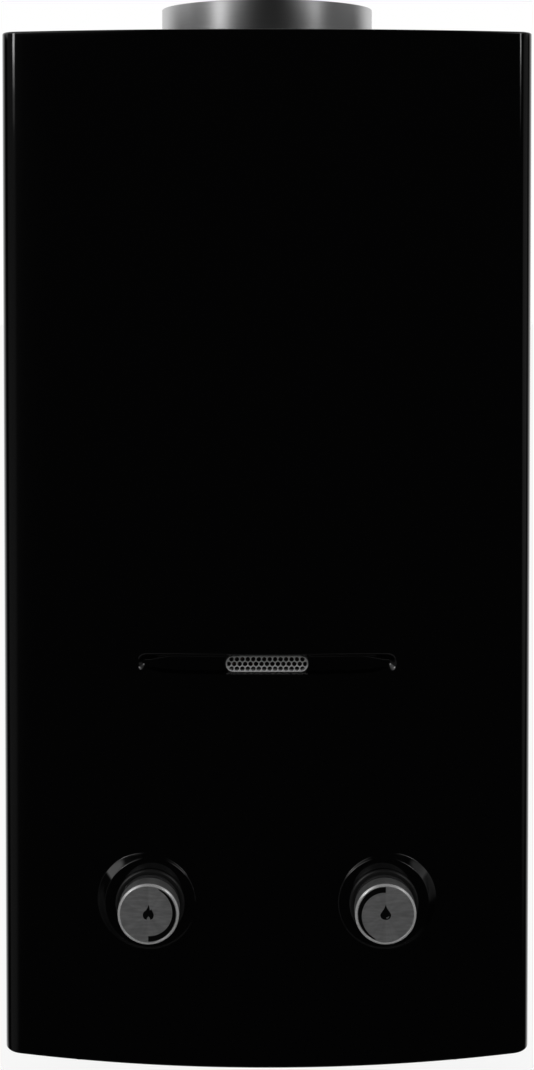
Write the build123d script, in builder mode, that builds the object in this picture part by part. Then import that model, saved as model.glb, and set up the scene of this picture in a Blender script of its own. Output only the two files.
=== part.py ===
from build123d import *
import os
from math import cos, radians, sqrt, tan

# Wall-hung tankless gas water heater with an open flue.
# Millimetres, +Z up, the front faces -Y. The origin is on the wall, at the middle of the wall slots.

# Casing
CASE_WIDTH = 310.0
CASE_HEIGHT = 600.0
CASE_DEPTH = 168.0  # wall to the crown of the bowed front
FRONT_BOW = 19.2  # crown ahead of the line where the bow would meet the sides
CORNER_RADIUS = 12.5
SHEET = 1.0
COVER_LIP = 12.0  # flange turned in round the top and the bottom of the cover
COVER_WALL_GAP = 2.0
FIT = 0.4  # clearance between sheet parts that slide together
BACK_FLANGE = 20.0
PLATE_FLANGE = 14.0
SLOT_INSET_X = 55.0
SLOT_INSET_Z = 40.0
SLOT_RADIUS = 3.5
SLOT_LENGTH = 14.0
BEAD_WIDTH = 14.0
BEAD_HEIGHT = 3.0
BEAD_INSET = 35.0  # bead centre line to the side of the casing
BEAD_TOP_INSET = 80.0
BEAD_BOTTOM_INSET = 150.0
VENT_WIDTH = 4.0
VENT_LENGTH = 60.0
VENT_PITCH = 11.0
VENT_COUNT = 4
VENT_INSET = 46.0  # middle vent to the side of the casing

# Knob seats and window channel pressed in the cover
KNOB_SPACING = 135.0
KNOB_HEIGHT = 96.5  # knob axis above the underside of the casing
SEAT_RADIUS = 26.0
SEAT_DROP = 0.8  # flat of the seat behind the crown
SEAT_DRAFT = 35.0
SEAT_HOLE_RADIUS = 18.5
WINDOW_HEIGHT = 235.0  # window above the underside of the casing
CHANNEL_LENGTH = 148.5
CHANNEL_WIDTH = 12.6
CHANNEL_DEPTH = 4.0
MESH_LENGTH = 47.6
MESH_WIDTH = 9.4
MESH_SHEET = 0.8
MESH_PROUD = 1.5  # mesh face ahead of the channel floor
MESH_PITCH = 4.2
MESH_ROW = 2.73
MESH_HOLE_RADIUS = 1.15
MESH_FLANGE = 3.0
PANE_THICKNESS = 3.0
CLAMP_LENGTH = 84.0
CLAMP_FOOT = 5.0

# Knobs
BEZEL_RADIUS = 20.0
BEZEL_PROUD = 2.0
BEZEL_TAPER = 26.0
BEZEL_WALL = 2.8
BEZEL_GRIP = 2.5  # neck behind the sheet
KNOB_RADIUS = 17.5
KNOB_REACH = 16.4  # knob face ahead of the seat
CAP_LENGTH = 9.6
CAP_WALL = 1.2
CORE_GAP = 1.0  # rear of the knob ahead of the seat
STEM_RADIUS = 3.0
STEM_FLAT = 2.1  # flat of the stem from its axis
STEM_GRIP = 11.0  # stem length inside the knob
STEM_SINK = 15.0  # stem length inside the valve
RUNNING = 0.08

# Flue
COLLAR_BACK_ROOM = 12.5  # wall to collar
COLLAR_FRONT_ROOM = 25.5  # collar to crown
COLLAR_SHEET = 1.0
COLLAR_RISE = 20.5  # collar above the casing
COLLAR_FLANGE = 8.0
COLLAR_HOLE_GAP = 2.5
HOOD_RIM = 4.0  # hood's square top outside the collar
HOOD_FOOT = 18.0

# Combustion chamber and heat exchanger
CHAMBER_SIDE_ROOM = 55.0  # casing side to chamber side
CHAMBER_BACK_ROOM = 20.0
CHAMBER_FRONT_ROOM = 48.0
CHAMBER_HEIGHT = 200.0
FLAME_RISE = 12.0  # window above the foot of the chamber
CHAMBER_FLANGE = 6.0
FIN_HEIGHT = 46.0
FIN_TOP_GAP = 8.0
FIN_PITCH = 25.0
FIN_SHEET = 0.8
FIN_PASSES = 3
FIN_EDGE = 14.0  # rear tube to the back of the chamber
FIN_FRONT = 26.0  # front tube to the front of the chamber
TUBE_RADIUS = 6.0
TUBE_BEND = 15.0
TUBE_JOINT = 3.0  # tube joints outside the chamber wall
BRAZE = 0.15
COIL_GAP = 0.5
COIL_LOW = 47.0  # coil runs above the foot of the chamber
COIL_RISE = 45.0
RISER_OFFSET = 22.0
COLD_INSET = 12.0  # cold pipe behind the chamber front
BRACKET_LENGTH = 120.0
BRACKET_WIDTH = 24.0
BRACKET_FOOT = 10.0
BRACKET_LOW = 12.0
BRACKET_HIGH = 107.0
CUTOFF_RADIUS = 9.0
CUTOFF_HEIGHT = 120.0  # cut-out above the foot of the chamber

# Burner
BURNER_HEIGHT = 58.0
BURNER_LIP = 10.0
BLADE_PITCH = 32.0
BLADE_WIDTH = 13.0
BLADE_HEIGHT = 52.0
BLADE_WEB = 4.0
BLADE_HEAD = 9.0
BLADE_FOOT = 16.0
BLADE_PORT = 3.0  # flame port along the head
VENTURI_RADIUS = 4.5
VENTURI_DEPTH = 30.0
MANIFOLD_SIZE = 16.0
MANIFOLD_WALL = 1.5
INJECTOR_RADIUS = 4.0
INJECTOR_LENGTH = 10.0
INJECTOR_TIP = 2.0
ELECTRODE_RADIUS = 3.5
ELECTRODE_COLLAR = 6.0
ELECTRODE_INSIDE = 16.0
ELECTRODE_OUTSIDE = 18.0
ELECTRODE_PIN = 0.9
ELECTRODE_PIN_LENGTH = 22.0
ELECTRODE_RISE = 10.0
ELECTRODE_SPACING = 20.0
ELECTRODE_SETBACK = 45.0

# Gas and water valve group
VALVE_BOX_GAP = 20.0  # valve and pipe axes behind the battery box
GAS_BODY_HALF = 20.0
GAS_LEFT = 18.0  # body's ends from the stem axis
GAS_RIGHT = 32.0
STEM_BOSS_RADIUS = 13.0
STEM_BOSS_LENGTH = 28.0
OUTLET_RISE = 26.0
OUTLET_RADIUS = 11.0
INLET_DROP = 32.0
INLET_RADIUS = 13.0
CASTING_EDGE = 3.0
SOLENOID_SIDE = 28.0
SOLENOID_LENGTH = 32.0
RISER_LEG = 12.0
RISER_BEND = 10.0
WATER_BODY_HALF = 15.0
DIAPHRAGM_SIDE = 54.0  # square flange of the diaphragm housing
DIAPHRAGM_HALF = 12.0  # thickness of each half of the diaphragm housing
DIAPHRAGM_SHEET = 1.5
DIAPHRAGM_OFFSET = 25.5  # housing from the water body's axis
CAVITY_RADIUS = 20.0
CAVITY_DEPTH = 6.0
PISTON_RADIUS = 18.0
PISTON_THICKNESS = 2.0
BUSH_RADIUS = 8.0
BUSH_LENGTH = 6.5
ROD_RADIUS = 3.0
ROD_TRAVEL = 4.0
ROD_SINK = 7.5  # rod end inside the gas valve at rest
ROD_SOCKET = 14.0
ROD_COLLAR_THICKNESS = 3.0
FRAME_PLATE = 4.0
FRAME_SETBACK = 14.0
FRAME_HEIGHT = 32.0
FRAME_LUG = 3.0
SWITCH_LENGTH = 28.0
SWITCH_HEIGHT = 16.0
SWITCH_DEPTH = 10.0
SWITCH_RISE = 13.0  # switch above the rod axis
LEVER_WIDTH = 5.0
LEVER_SHEET = 1.0
LEVER_LENGTH = 8.0
LEVER_PIN_RADIUS = 0.8
LEVER_PIN_RUNNING = 0.05
LEVER_DROP = 1.6  # lever pin below the switch
LEVER_GAP = 0.4
LEVER_CONTACT = 6.1  # rod collar's top edge below the lever pin
EAR = 1.2
EAR_GAP = 0.3
VALVE_BRACKET_SHEET = 2.0
VALVE_BRACKET_WIDTH = 32.0
VALVE_BRACKET_LEG = 30.0

# Connections under the casing
NIPPLE_RADIUS = 10.48  # half-inch pipe thread, over the crests
NIPPLE_NECK = 10.2
NIPPLE_BORE = 7.0
NIPPLE_PROJECTION = 25.0
NIPPLE_HEX = 13.0  # half the width across flats
NIPPLE_HEX_HEIGHT = 6.0
HOLE_CLEARANCE = 0.8
PIPE_JOG = 25.0
HOT_PIPE_FOOT = 36.0  # end of the hot pipe above the bottom plate
DRAIN_OFFSET = 30.0
DRAIN_ARM_HALF = 7.0
DRAIN_BOSS_RADIUS = 9.0
DRAIN_BOSS_LENGTH = 22.0
DRAIN_RADIUS = 5.5
DRAIN_HEAD_RADIUS = 9.0
DRAIN_HEAD_HEIGHT = 8.0
DRAIN_WING = 3.0

# Ignition and battery
MODULE_WIDTH = 70.0
MODULE_HEIGHT = 65.0
MODULE_DEPTH = 30.0
MODULE_EDGE = 2.5
MODULE_INSET = 50.0  # module centre to the side of the casing
MODULE_RISE = 102.5  # module centre above the underside of the casing
MODULE_POST_RADIUS = 4.0
MODULE_POST_HEIGHT = 6.0
MODULE_POST_SPACING = 12.0
LEAD_RADIUS = 2.0
LEAD_BEND = 8.0
LEAD_RUN = 12.0
LEAD_STEP = 4.0
CELL_RADIUS = 16.6
CELL_LENGTH = 61.0
CELL_NUB_RADIUS = 4.5
CELL_NUB_LENGTH = 1.5
CELL_GAP = 0.4
CONTACT_SHEET = 0.8
CONTACT_WIDTH = 25.0
CONTACT_HEIGHT = 16.0
BOX_WALL = 2.0
BOX_FRONT_GAP = 1.5
DOOR_SHEET = 2.0
DOOR_GAP = 0.6
DOOR_BARREL_RADIUS = 2.2
DOOR_BARREL_LENGTH = 60.0
DOOR_PIN_RADIUS = 1.0
DOOR_PIN_RUNNING = 0.06
DOOR_LUG = 5.0
DOOR_RIDGE = 24.0

# Levels and places that follow from the sizes above
CASE_TOP = CASE_HEIGHT / 2
CASE_BOTTOM = -CASE_HEIGHT / 2
BOW_RADIUS = ((CASE_WIDTH / 2) ** 2 + FRONT_BOW**2) / (2 * FRONT_BOW)
BOW_CENTRE = BOW_RADIUS - CASE_DEPTH
TOP_PLATE_BOTTOM = CASE_TOP - 2 * SHEET
BOTTOM_PLATE_TOP = CASE_BOTTOM + 2 * SHEET
BACK_HALF = CASE_WIDTH / 2 - SHEET - FIT
KNOB_X = KNOB_SPACING / 2
KNOB_Z = CASE_BOTTOM + KNOB_HEIGHT
SEAT_Y = -CASE_DEPTH + SEAT_DROP
WINDOW_Z = CASE_BOTTOM + WINDOW_HEIGHT
COLLAR_RADIUS = (CASE_DEPTH - COLLAR_BACK_ROOM - COLLAR_FRONT_ROOM) / 2
COLLAR_Y = -(COLLAR_BACK_ROOM + COLLAR_RADIUS)
CHAMBER_HALF = CASE_WIDTH / 2 - CHAMBER_SIDE_ROOM
CHAMBER_BACK = -CHAMBER_BACK_ROOM
CHAMBER_FRONT = -(CASE_DEPTH - CHAMBER_FRONT_ROOM)
CHAMBER_DEPTH = CHAMBER_BACK - CHAMBER_FRONT
CHAMBER_Y = (CHAMBER_BACK + CHAMBER_FRONT) / 2
CHAMBER_BOTTOM = WINDOW_Z - FLAME_RISE
CHAMBER_TOP = CHAMBER_BOTTOM + CHAMBER_HEIGHT
FIN_Z = CHAMBER_TOP - FIN_TOP_GAP - FIN_HEIGHT / 2
FIN_TUBE_PITCH = (CHAMBER_DEPTH - FIN_EDGE - FIN_FRONT) / (FIN_PASSES - 1)
PASS_Y = [CHAMBER_BACK - FIN_EDGE - i * FIN_TUBE_PITCH for i in range(FIN_PASSES)]
CHAMBER_CORNER = TUBE_BEND - TUBE_RADIUS - COIL_GAP
TUBE_HOLE = 2 * (TUBE_RADIUS + BRAZE)
TUBE_END = CHAMBER_HALF + TUBE_JOINT
RISER_X = CHAMBER_HALF + RISER_OFFSET
BURNER_BOTTOM = CHAMBER_BOTTOM - BURNER_HEIGHT
BLADE_COUNT = int((2 * (CHAMBER_HALF - SHEET - FIT)) // BLADE_PITCH)
BLADE_X = [(i - (BLADE_COUNT - 1) / 2) * BLADE_PITCH for i in range(BLADE_COUNT)]
BLADE_BASE = BURNER_BOTTOM + SHEET
VENTURI_Z = BLADE_BASE + BLADE_FOOT / 2
MANIFOLD_BACK = CHAMBER_FRONT - INJECTOR_LENGTH
MANIFOLD_Y = MANIFOLD_BACK - MANIFOLD_SIZE / 2
GAS_END = -KNOB_X + GAS_RIGHT
HOUSING_X = KNOB_X - DIAPHRAGM_OFFSET  # face of the water body's half towards its axis
DIAPHRAGM_X = HOUSING_X - DIAPHRAGM_HALF
COVER_X = DIAPHRAGM_X - DIAPHRAGM_SHEET - DIAPHRAGM_HALF
ROD_COLLAR_X = (GAS_END + COVER_X) / 2 + ROD_TRAVEL + ROD_RADIUS
ROD_COLLAR_HALF = SWITCH_RISE - LEVER_DROP - LEVER_CONTACT
BOX_LENGTH = 2 * (CELL_LENGTH + CONTACT_SHEET + CELL_GAP + BOX_WALL)
BOX_DEPTH = 2 * (CELL_RADIUS + CELL_GAP + BOX_WALL)


def bow_y(x, inset=0.0):
    """Y of the bowed front at x, taken inwards by inset."""
    return BOW_CENTRE - sqrt((BOW_RADIUS - inset) ** 2 - x**2)


BOX_FRONT = bow_y(BOX_LENGTH / 2, SHEET + COVER_LIP) + BOX_FRONT_GAP
BOX_Y = BOX_FRONT + BOX_DEPTH / 2
BOX_BACK = BOX_FRONT + BOX_DEPTH
VALVE_Y = BOX_BACK + VALVE_BOX_GAP
FRAME_BACK = VALVE_Y + FRAME_SETBACK + FRAME_PLATE
FRAME_FRONT = VALVE_Y + FRAME_SETBACK
DOOR_TOP = CASE_BOTTOM + DOOR_SHEET
CELL_Z = DOOR_TOP + CELL_GAP + CELL_RADIUS
BOX_TOP = CELL_Z + CELL_RADIUS + CELL_GAP + BOX_WALL
HINGE_Y = BOX_BACK + DOOR_BARREL_RADIUS + DOOR_GAP
HINGE_Z = CASE_BOTTOM + DOOR_SHEET / 2
MODULE_X = CASE_WIDTH / 2 - MODULE_INSET
MODULE_Z = CASE_BOTTOM + MODULE_RISE
MODULE_Y = -SHEET - MODULE_DEPTH / 2


def front_plane(y):
    """Upright plane at depth y, drawn in X and Z as seen from the front."""
    return Plane.XZ.offset(-y)


def casing_plan(z, inset, rear):
    """Plan of the casing at height z, taken inwards by inset, from its bowed front back to rear."""
    half = CASE_WIDTH / 2 - inset
    front = bow_y(half, inset)
    with BuildSketch(Plane.XY.offset(z)) as plan:
        with BuildLine():
            Polyline((-half, front), (-half, rear), (half, rear), (half, front))
            ThreePointArc((-half, front), (0, -CASE_DEPTH + inset), (half, front))
        make_face()
        front_corners = plan.vertices().group_by(Axis.Y)[0]
        fillet(front_corners, max(CORNER_RADIUS - inset, SHEET))
    return plan.sketch


def chamber_plan(z, inset):
    """Oblong plan of the chamber with folded corners at height z, taken inwards by inset."""
    with BuildSketch(Plane.XY.offset(z)) as plan:
        with Locations((0, CHAMBER_Y)):
            Rectangle(2 * (CHAMBER_HALF - inset), CHAMBER_DEPTH - 2 * inset)
        chamfer(plan.vertices(), CHAMBER_CORNER - inset)
    return plan.sketch


def channel_form(grow):
    """Room of the pressed window channel, larger by grow, with a floor that follows the bow."""
    with BuildPart() as channel:
        with BuildSketch(front_plane(-CASE_DEPTH - SHEET)):
            with Locations((0, WINDOW_Z)):
                SlotOverall(CHANNEL_LENGTH + 2 * grow, CHANNEL_WIDTH + 2 * grow)
        extrude(amount=-(CHANNEL_DEPTH + FRONT_BOW))
        with BuildSketch(Plane.XY.offset(WINDOW_Z - CHANNEL_WIDTH)):
            with Locations((0, BOW_CENTRE)):
                Circle(BOW_RADIUS - CHANNEL_DEPTH - grow)
        extrude(amount=2 * CHANNEL_WIDTH, mode=Mode.SUBTRACT)
    return channel.part


def cover_form(inset):
    """Solid bounded by the cover's skin, taken inwards by inset, with its channel and knob seats."""
    seat_rise = bow_y(KNOB_X + SEAT_RADIUS + FRONT_BOW / 2) - SEAT_Y
    seat_inner = SEAT_RADIUS - inset * (1 / cos(radians(SEAT_DRAFT)) - tan(radians(SEAT_DRAFT)))
    seat_outer = seat_inner + seat_rise * tan(radians(SEAT_DRAFT))
    with BuildPart() as form:
        extrude(casing_plan(CASE_BOTTOM + inset, inset, 0), amount=CASE_HEIGHT - 2 * inset)
        add(channel_form(inset), mode=Mode.SUBTRACT)
        for x in (-KNOB_X, KNOB_X):
            with Locations(Location((x, SEAT_Y + inset + seat_rise / 2, KNOB_Z), (90, 0, 0))):
                Cone(seat_outer, seat_inner, seat_rise)
    return form.part


NIPPLES = {"gas_inlet": -KNOB_X, "cold_inlet": KNOB_X, "hot_outlet": -RISER_X}
DRAIN_X = KNOB_X + DRAIN_OFFSET

# Front cover: one pressed sheet with a bowed front, rounded corners, sides and lips
with BuildPart() as front_cover:
    add(cover_form(0))
    add(cover_form(SHEET), mode=Mode.SUBTRACT)
    with BuildSketch(front_plane(0)):
        Rectangle(CASE_WIDTH - 2 * SHEET, CASE_HEIGHT - 2 * SHEET)
    extrude(amount=2 * SHEET, mode=Mode.SUBTRACT)
    extrude(
        casing_plan(CASE_BOTTOM, SHEET + COVER_LIP, SHEET), amount=CASE_HEIGHT, mode=Mode.SUBTRACT
    )
    with BuildSketch(front_plane(0)):
        Rectangle(CASE_WIDTH, CASE_HEIGHT)
    extrude(amount=COVER_WALL_GAP, mode=Mode.SUBTRACT)
    with BuildSketch(front_plane(-CASE_DEPTH - SHEET)):
        with Locations((-KNOB_X, KNOB_Z), (KNOB_X, KNOB_Z)):
            Circle(SEAT_HOLE_RADIUS)
        with Locations((0, WINDOW_Z)):
            SlotOverall(MESH_LENGTH + 2 * FIT, MESH_WIDTH + 2 * FIT)
    extrude(amount=-CASE_DEPTH / 2, mode=Mode.SUBTRACT)

# Back plate: flanged sheet with slots for the wall screws and two stiffening beads
with BuildPart() as back_plate:
    height = CASE_HEIGHT - 4 * SHEET
    with BuildSketch(front_plane(0)):
        Rectangle(2 * BACK_HALF, height)
    extrude(amount=BACK_FLANGE)
    with BuildSketch(front_plane(-SHEET)):
        Rectangle(2 * (BACK_HALF - SHEET), height)
    extrude(amount=BACK_FLANGE, mode=Mode.SUBTRACT)
    bead_top = CASE_TOP - BEAD_TOP_INSET
    bead_bottom = CASE_BOTTOM + BEAD_BOTTOM_INSET
    bead_x = CASE_WIDTH / 2 - BEAD_INSET
    bead_places = [(side * bead_x, (bead_top + bead_bottom) / 2) for side in (-1, 1)]
    with BuildSketch(front_plane(-SHEET)):
        with Locations(*bead_places):
            Rectangle(BEAD_WIDTH, bead_top - bead_bottom)
    extrude(amount=BEAD_HEIGHT)
    with BuildSketch(front_plane(0)):
        with Locations(*bead_places):
            Rectangle(BEAD_WIDTH - 2 * SHEET, bead_top - bead_bottom - 2 * SHEET)
    extrude(amount=BEAD_HEIGHT, mode=Mode.SUBTRACT)
    with BuildSketch(front_plane(0)):
        with GridLocations(CASE_WIDTH - 2 * SLOT_INSET_X, CASE_HEIGHT - 2 * SLOT_INSET_Z, 2, 2):
            SlotOverall(SLOT_LENGTH, 2 * SLOT_RADIUS)
    extrude(amount=SHEET, mode=Mode.SUBTRACT)

# Top plate: round hole for the flue collar, vents each side and a flange on the back plate
with BuildPart() as top_plate:
    extrude(casing_plan(TOP_PLATE_BOTTOM, SHEET + FIT, 0), amount=SHEET)
    with BuildSketch(Plane.XY.offset(TOP_PLATE_BOTTOM)):
        with Locations((0, COLLAR_Y)):
            RegularPolygon(COLLAR_RADIUS + COLLAR_HOLE_GAP, 24, major_radius=False)
        for side in (-1, 1):
            with Locations((side * (CASE_WIDTH / 2 - VENT_INSET), COLLAR_Y)):
                with GridLocations(VENT_PITCH, 0, VENT_COUNT, 1):
                    Rectangle(VENT_WIDTH, VENT_LENGTH)
    extrude(amount=SHEET, mode=Mode.SUBTRACT)
    with BuildSketch(front_plane(-SHEET)):
        with Locations((0, TOP_PLATE_BOTTOM)):
            Rectangle(2 * (BACK_HALF - SHEET - FIT), PLATE_FLANGE, align=(Align.CENTER, Align.MAX))
    extrude(amount=SHEET)

# Bottom plate: holes for the pipes, the battery box and the drain, with air slots behind
with BuildPart() as bottom_plate:
    extrude(casing_plan(CASE_BOTTOM + SHEET, SHEET + FIT, 0), amount=SHEET)
    with BuildSketch(Plane.XY.offset(CASE_BOTTOM + SHEET)):
        with Locations(*[(x, VALVE_Y) for x in NIPPLES.values()]):
            RegularPolygon(NIPPLE_RADIUS + HOLE_CLEARANCE, 8, major_radius=False)
        with Locations((DRAIN_X, VALVE_Y)):
            RegularPolygon(DRAIN_RADIUS + HOLE_CLEARANCE, 8, major_radius=False)
        hatch_back = HINGE_Y + DOOR_BARREL_RADIUS + DOOR_GAP
        with Locations((0, (BOX_FRONT + hatch_back) / 2)):
            Rectangle(BOX_LENGTH + 2 * FIT, hatch_back - BOX_FRONT + 2 * FIT)
        for side in (-1, 1):
            with Locations((side * (CASE_WIDTH / 2 - VENT_INSET), VALVE_Y / 2)):
                with GridLocations(VENT_PITCH, 0, VENT_COUNT, 1):
                    Rectangle(VENT_WIDTH, VENT_LENGTH / 2)
    extrude(amount=SHEET, mode=Mode.SUBTRACT)
    with BuildSketch(front_plane(-SHEET)):
        with Locations((0, BOTTOM_PLATE_TOP)):
            Rectangle(2 * (BACK_HALF - SHEET - FIT), PLATE_FLANGE, align=(Align.CENTER, Align.MIN))
    extrude(amount=SHEET)

# Flue collar: ring on a square flange, passed up through the top plate
with BuildPart() as flue_collar:
    with BuildSketch(Plane.XY.offset(TOP_PLATE_BOTTOM - COLLAR_SHEET)):
        with Locations((0, COLLAR_Y)):
            Rectangle(2 * (COLLAR_RADIUS + COLLAR_FLANGE), 2 * (COLLAR_RADIUS + COLLAR_FLANGE))
    extrude(amount=COLLAR_SHEET)
    with BuildSketch(Plane.XY.offset(TOP_PLATE_BOTTOM)):
        with Locations((0, COLLAR_Y)):
            Circle(COLLAR_RADIUS)
    extrude(amount=CASE_TOP + COLLAR_RISE - TOP_PLATE_BOTTOM)
    with BuildSketch(Plane.XY.offset(TOP_PLATE_BOTTOM - COLLAR_SHEET)):
        with Locations((0, COLLAR_Y)):
            RegularPolygon(COLLAR_RADIUS - COLLAR_SHEET, 24)
    extrude(amount=CASE_HEIGHT, mode=Mode.SUBTRACT)

# Draught hood: folded sheet from the oblong chamber up to a square top, cut out under the collar
HOOD_TOP = TOP_PLATE_BOTTOM - COLLAR_SHEET


def hood_form(inset):
    """Solid of the hood taken inwards by inset: an upright foot and four sloping sides."""
    foot_top = CHAMBER_TOP + HOOD_FOOT
    half = CHAMBER_HALF - inset
    back = CHAMBER_BACK - inset
    front = CHAMBER_FRONT + inset
    top_half = COLLAR_RADIUS + HOOD_RIM - inset
    with BuildPart() as form:
        with BuildSketch(Plane.XY.offset(CHAMBER_TOP)):
            with Locations((0, CHAMBER_Y)):
                Rectangle(2 * half, back - front)
        extrude(amount=HOOD_FOOT)
        with Locations(Location((0, back, foot_top), (90, 0, 0))):
            Wedge(
                2 * half,
                HOOD_TOP - inset - foot_top,
                back - front,
                half - top_half,
                back - COLLAR_Y - top_half,
                half + top_half,
                back - COLLAR_Y + top_half,
                align=(Align.CENTER, Align.MIN, Align.MIN),
            )
    return form.part


with BuildPart() as draft_hood:
    add(hood_form(0))
    add(hood_form(SHEET), mode=Mode.SUBTRACT)
    with BuildSketch(Plane.XY.offset(HOOD_TOP)):
        with Locations((0, COLLAR_Y)):
            RegularPolygon(COLLAR_RADIUS - COLLAR_SHEET, 16)
    extrude(amount=-SHEET, mode=Mode.SUBTRACT)

# Combustion chamber: copper box, open above and below, pierced for tubes, electrodes and the view
with BuildPart() as chamber_shell:
    extrude(chamber_plan(CHAMBER_BOTTOM, 0), amount=CHAMBER_HEIGHT)
    extrude(chamber_plan(CHAMBER_BOTTOM, SHEET), amount=CHAMBER_HEIGHT, mode=Mode.SUBTRACT)
    flange_length = 2 * (CHAMBER_HALF - CHAMBER_CORNER)
    for level in (CHAMBER_BOTTOM, CHAMBER_TOP - SHEET):
        for edge, away in ((CHAMBER_FRONT, Align.MAX), (CHAMBER_BACK, Align.MIN)):
            with BuildSketch(Plane.XY.offset(level)):
                with Locations((0, edge)):
                    Rectangle(flange_length, CHAMBER_FLANGE, align=(Align.CENTER, away))
            extrude(amount=SHEET)
    with BuildSketch(Plane.YZ.offset(-CHAMBER_HALF)):
        with Locations(*[(y, FIN_Z) for y in PASS_Y]):
            Rectangle(TUBE_HOLE, TUBE_HOLE)
    extrude(amount=2 * CHAMBER_HALF, mode=Mode.SUBTRACT)
    ELECTRODE_Z = CHAMBER_BOTTOM + ELECTRODE_RISE
    ELECTRODE_Y = [-ELECTRODE_SETBACK, -ELECTRODE_SETBACK - ELECTRODE_SPACING]
    with BuildSketch(Plane.YZ.offset(CHAMBER_HALF - SHEET)):
        with Locations(*[(y, ELECTRODE_Z) for y in ELECTRODE_Y]):
            Rectangle(2 * (ELECTRODE_RADIUS + FIT), 2 * (ELECTRODE_RADIUS + FIT))
    extrude(amount=SHEET, mode=Mode.SUBTRACT)
    with BuildSketch(front_plane(CHAMBER_FRONT + SHEET)):
        with Locations((0, WINDOW_Z)):
            Rectangle(MESH_LENGTH, MESH_WIDTH)
    extrude(amount=SHEET, mode=Mode.SUBTRACT)

# Chamber brackets: two hat channels between the back plate and the chamber
with BuildPart() as chamber_brackets:
    for low in (CHAMBER_BOTTOM + BRACKET_LOW, CHAMBER_BOTTOM + BRACKET_HIGH):
        middle = low + BRACKET_WIDTH / 2
        with BuildSketch(front_plane(-SHEET)):
            with Locations((0, middle)):
                Rectangle(BRACKET_LENGTH, BRACKET_WIDTH + 2 * BRACKET_FOOT)
        extrude(amount=SHEET)
        with BuildSketch(front_plane(-SHEET)):
            with Locations((0, middle)):
                Rectangle(BRACKET_LENGTH, BRACKET_WIDTH)
        extrude(amount=CHAMBER_BACK_ROOM - SHEET)
        with BuildSketch(front_plane(-SHEET)):
            with Locations((0, middle)):
                Rectangle(BRACKET_LENGTH, BRACKET_WIDTH - 2 * SHEET)
        extrude(amount=CHAMBER_BACK_ROOM - 2 * SHEET, mode=Mode.SUBTRACT)

# Fins: copper plates across the chamber, with square piercings threaded on the tubes
with BuildPart() as fin_stack:
    fin_count = int(2 * (CHAMBER_HALF - SHEET) // FIN_PITCH)
    for i in range(fin_count):
        x = (i - (fin_count - 1) / 2) * FIN_PITCH
        with BuildSketch(Plane.YZ.offset(x - FIN_SHEET / 2)):
            with Locations((CHAMBER_Y, FIN_Z)):
                Rectangle(CHAMBER_DEPTH - 2 * (SHEET + FIT), FIN_HEIGHT)
            with Locations(*[(y, FIN_Z) for y in PASS_Y]):
                Rectangle(TUBE_HOLE, TUBE_HOLE, mode=Mode.SUBTRACT)
        extrude(amount=FIN_SHEET)


def bent_tube(points, radius, bend):
    """Rod with six sides along straight runs, each bend taken as one facet tangent to its arc."""
    cut = bend * (2 - sqrt(2))
    route = [Vector(*points[0])]
    for before, corner, after in zip(points, points[1:], points[2:]):
        turn = Vector(*corner)
        route.append(turn + (Vector(*before) - turn).normalized() * cut)
        route.append(turn + (Vector(*after) - turn).normalized() * cut)
    route.append(Vector(*points[-1]))
    with BuildPart() as tube:
        with BuildLine() as run:
            Polyline(*route)
        with BuildSketch(Plane(origin=route[0], z_dir=run.line % 0)):
            RegularPolygon(radius, 6)
        sweep(transition=Transition.RIGHT)
    return tube.part


# Fin tubes: one serpentine through the fins, in at the right rear and out at the left front
bend_x = CHAMBER_HALF + RISER_OFFSET - TUBE_RADIUS
serpentine = [(TUBE_END, PASS_Y[0], FIN_Z)]
for i, y in enumerate(PASS_Y[:-1]):
    turn_x = -bend_x if i % 2 == 0 else bend_x
    serpentine += [(turn_x, y, FIN_Z), (turn_x, PASS_Y[i + 1], FIN_Z)]
serpentine.append((-TUBE_END, PASS_Y[-1], FIN_Z))
with BuildPart() as fin_tubes:
    add(bent_tube(serpentine, TUBE_RADIUS, (FIN_TUBE_PITCH - COIL_GAP) / 2))

# Coil: from the cold pipe once round the chamber, then up into the fin tubes
coil_x = CHAMBER_HALF + COIL_GAP + TUBE_RADIUS
coil_back = CHAMBER_BACK + COIL_GAP + TUBE_RADIUS
coil_front = CHAMBER_FRONT - COIL_GAP - TUBE_RADIUS
coil_low = CHAMBER_BOTTOM + COIL_LOW
coil_high = coil_low + COIL_RISE
coil_start = coil_low - 2 * TUBE_BEND
cold_y = CHAMBER_FRONT + COLD_INSET
with BuildPart() as coil_pipe:
    add(
        bent_tube(
            [
                (coil_x, cold_y, coil_start),
                (coil_x, cold_y, coil_low),
                (coil_x, coil_back, coil_low),
                (-coil_x, coil_back, coil_low),
                (-coil_x, coil_front, coil_low),
                (RISER_X, coil_front, coil_high),
                (RISER_X, PASS_Y[0], coil_high),
                (RISER_X, PASS_Y[0], FIN_Z),
                (TUBE_END, PASS_Y[0], FIN_Z),
            ],
            TUBE_RADIUS,
            TUBE_BEND,
        )
    )

# Cold pipe: water valve to coil
with BuildPart() as cold_pipe:
    valve_top = KNOB_Z + OUTLET_RISE
    add(
        bent_tube(
            [
                (KNOB_X, VALVE_Y, valve_top),
                (KNOB_X, VALVE_Y, valve_top + RISER_LEG),
                (coil_x, cold_y, valve_top + RISER_LEG),
                (coil_x, cold_y, coil_start),
            ],
            TUBE_RADIUS,
            RISER_BEND,
        )
    )

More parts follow.
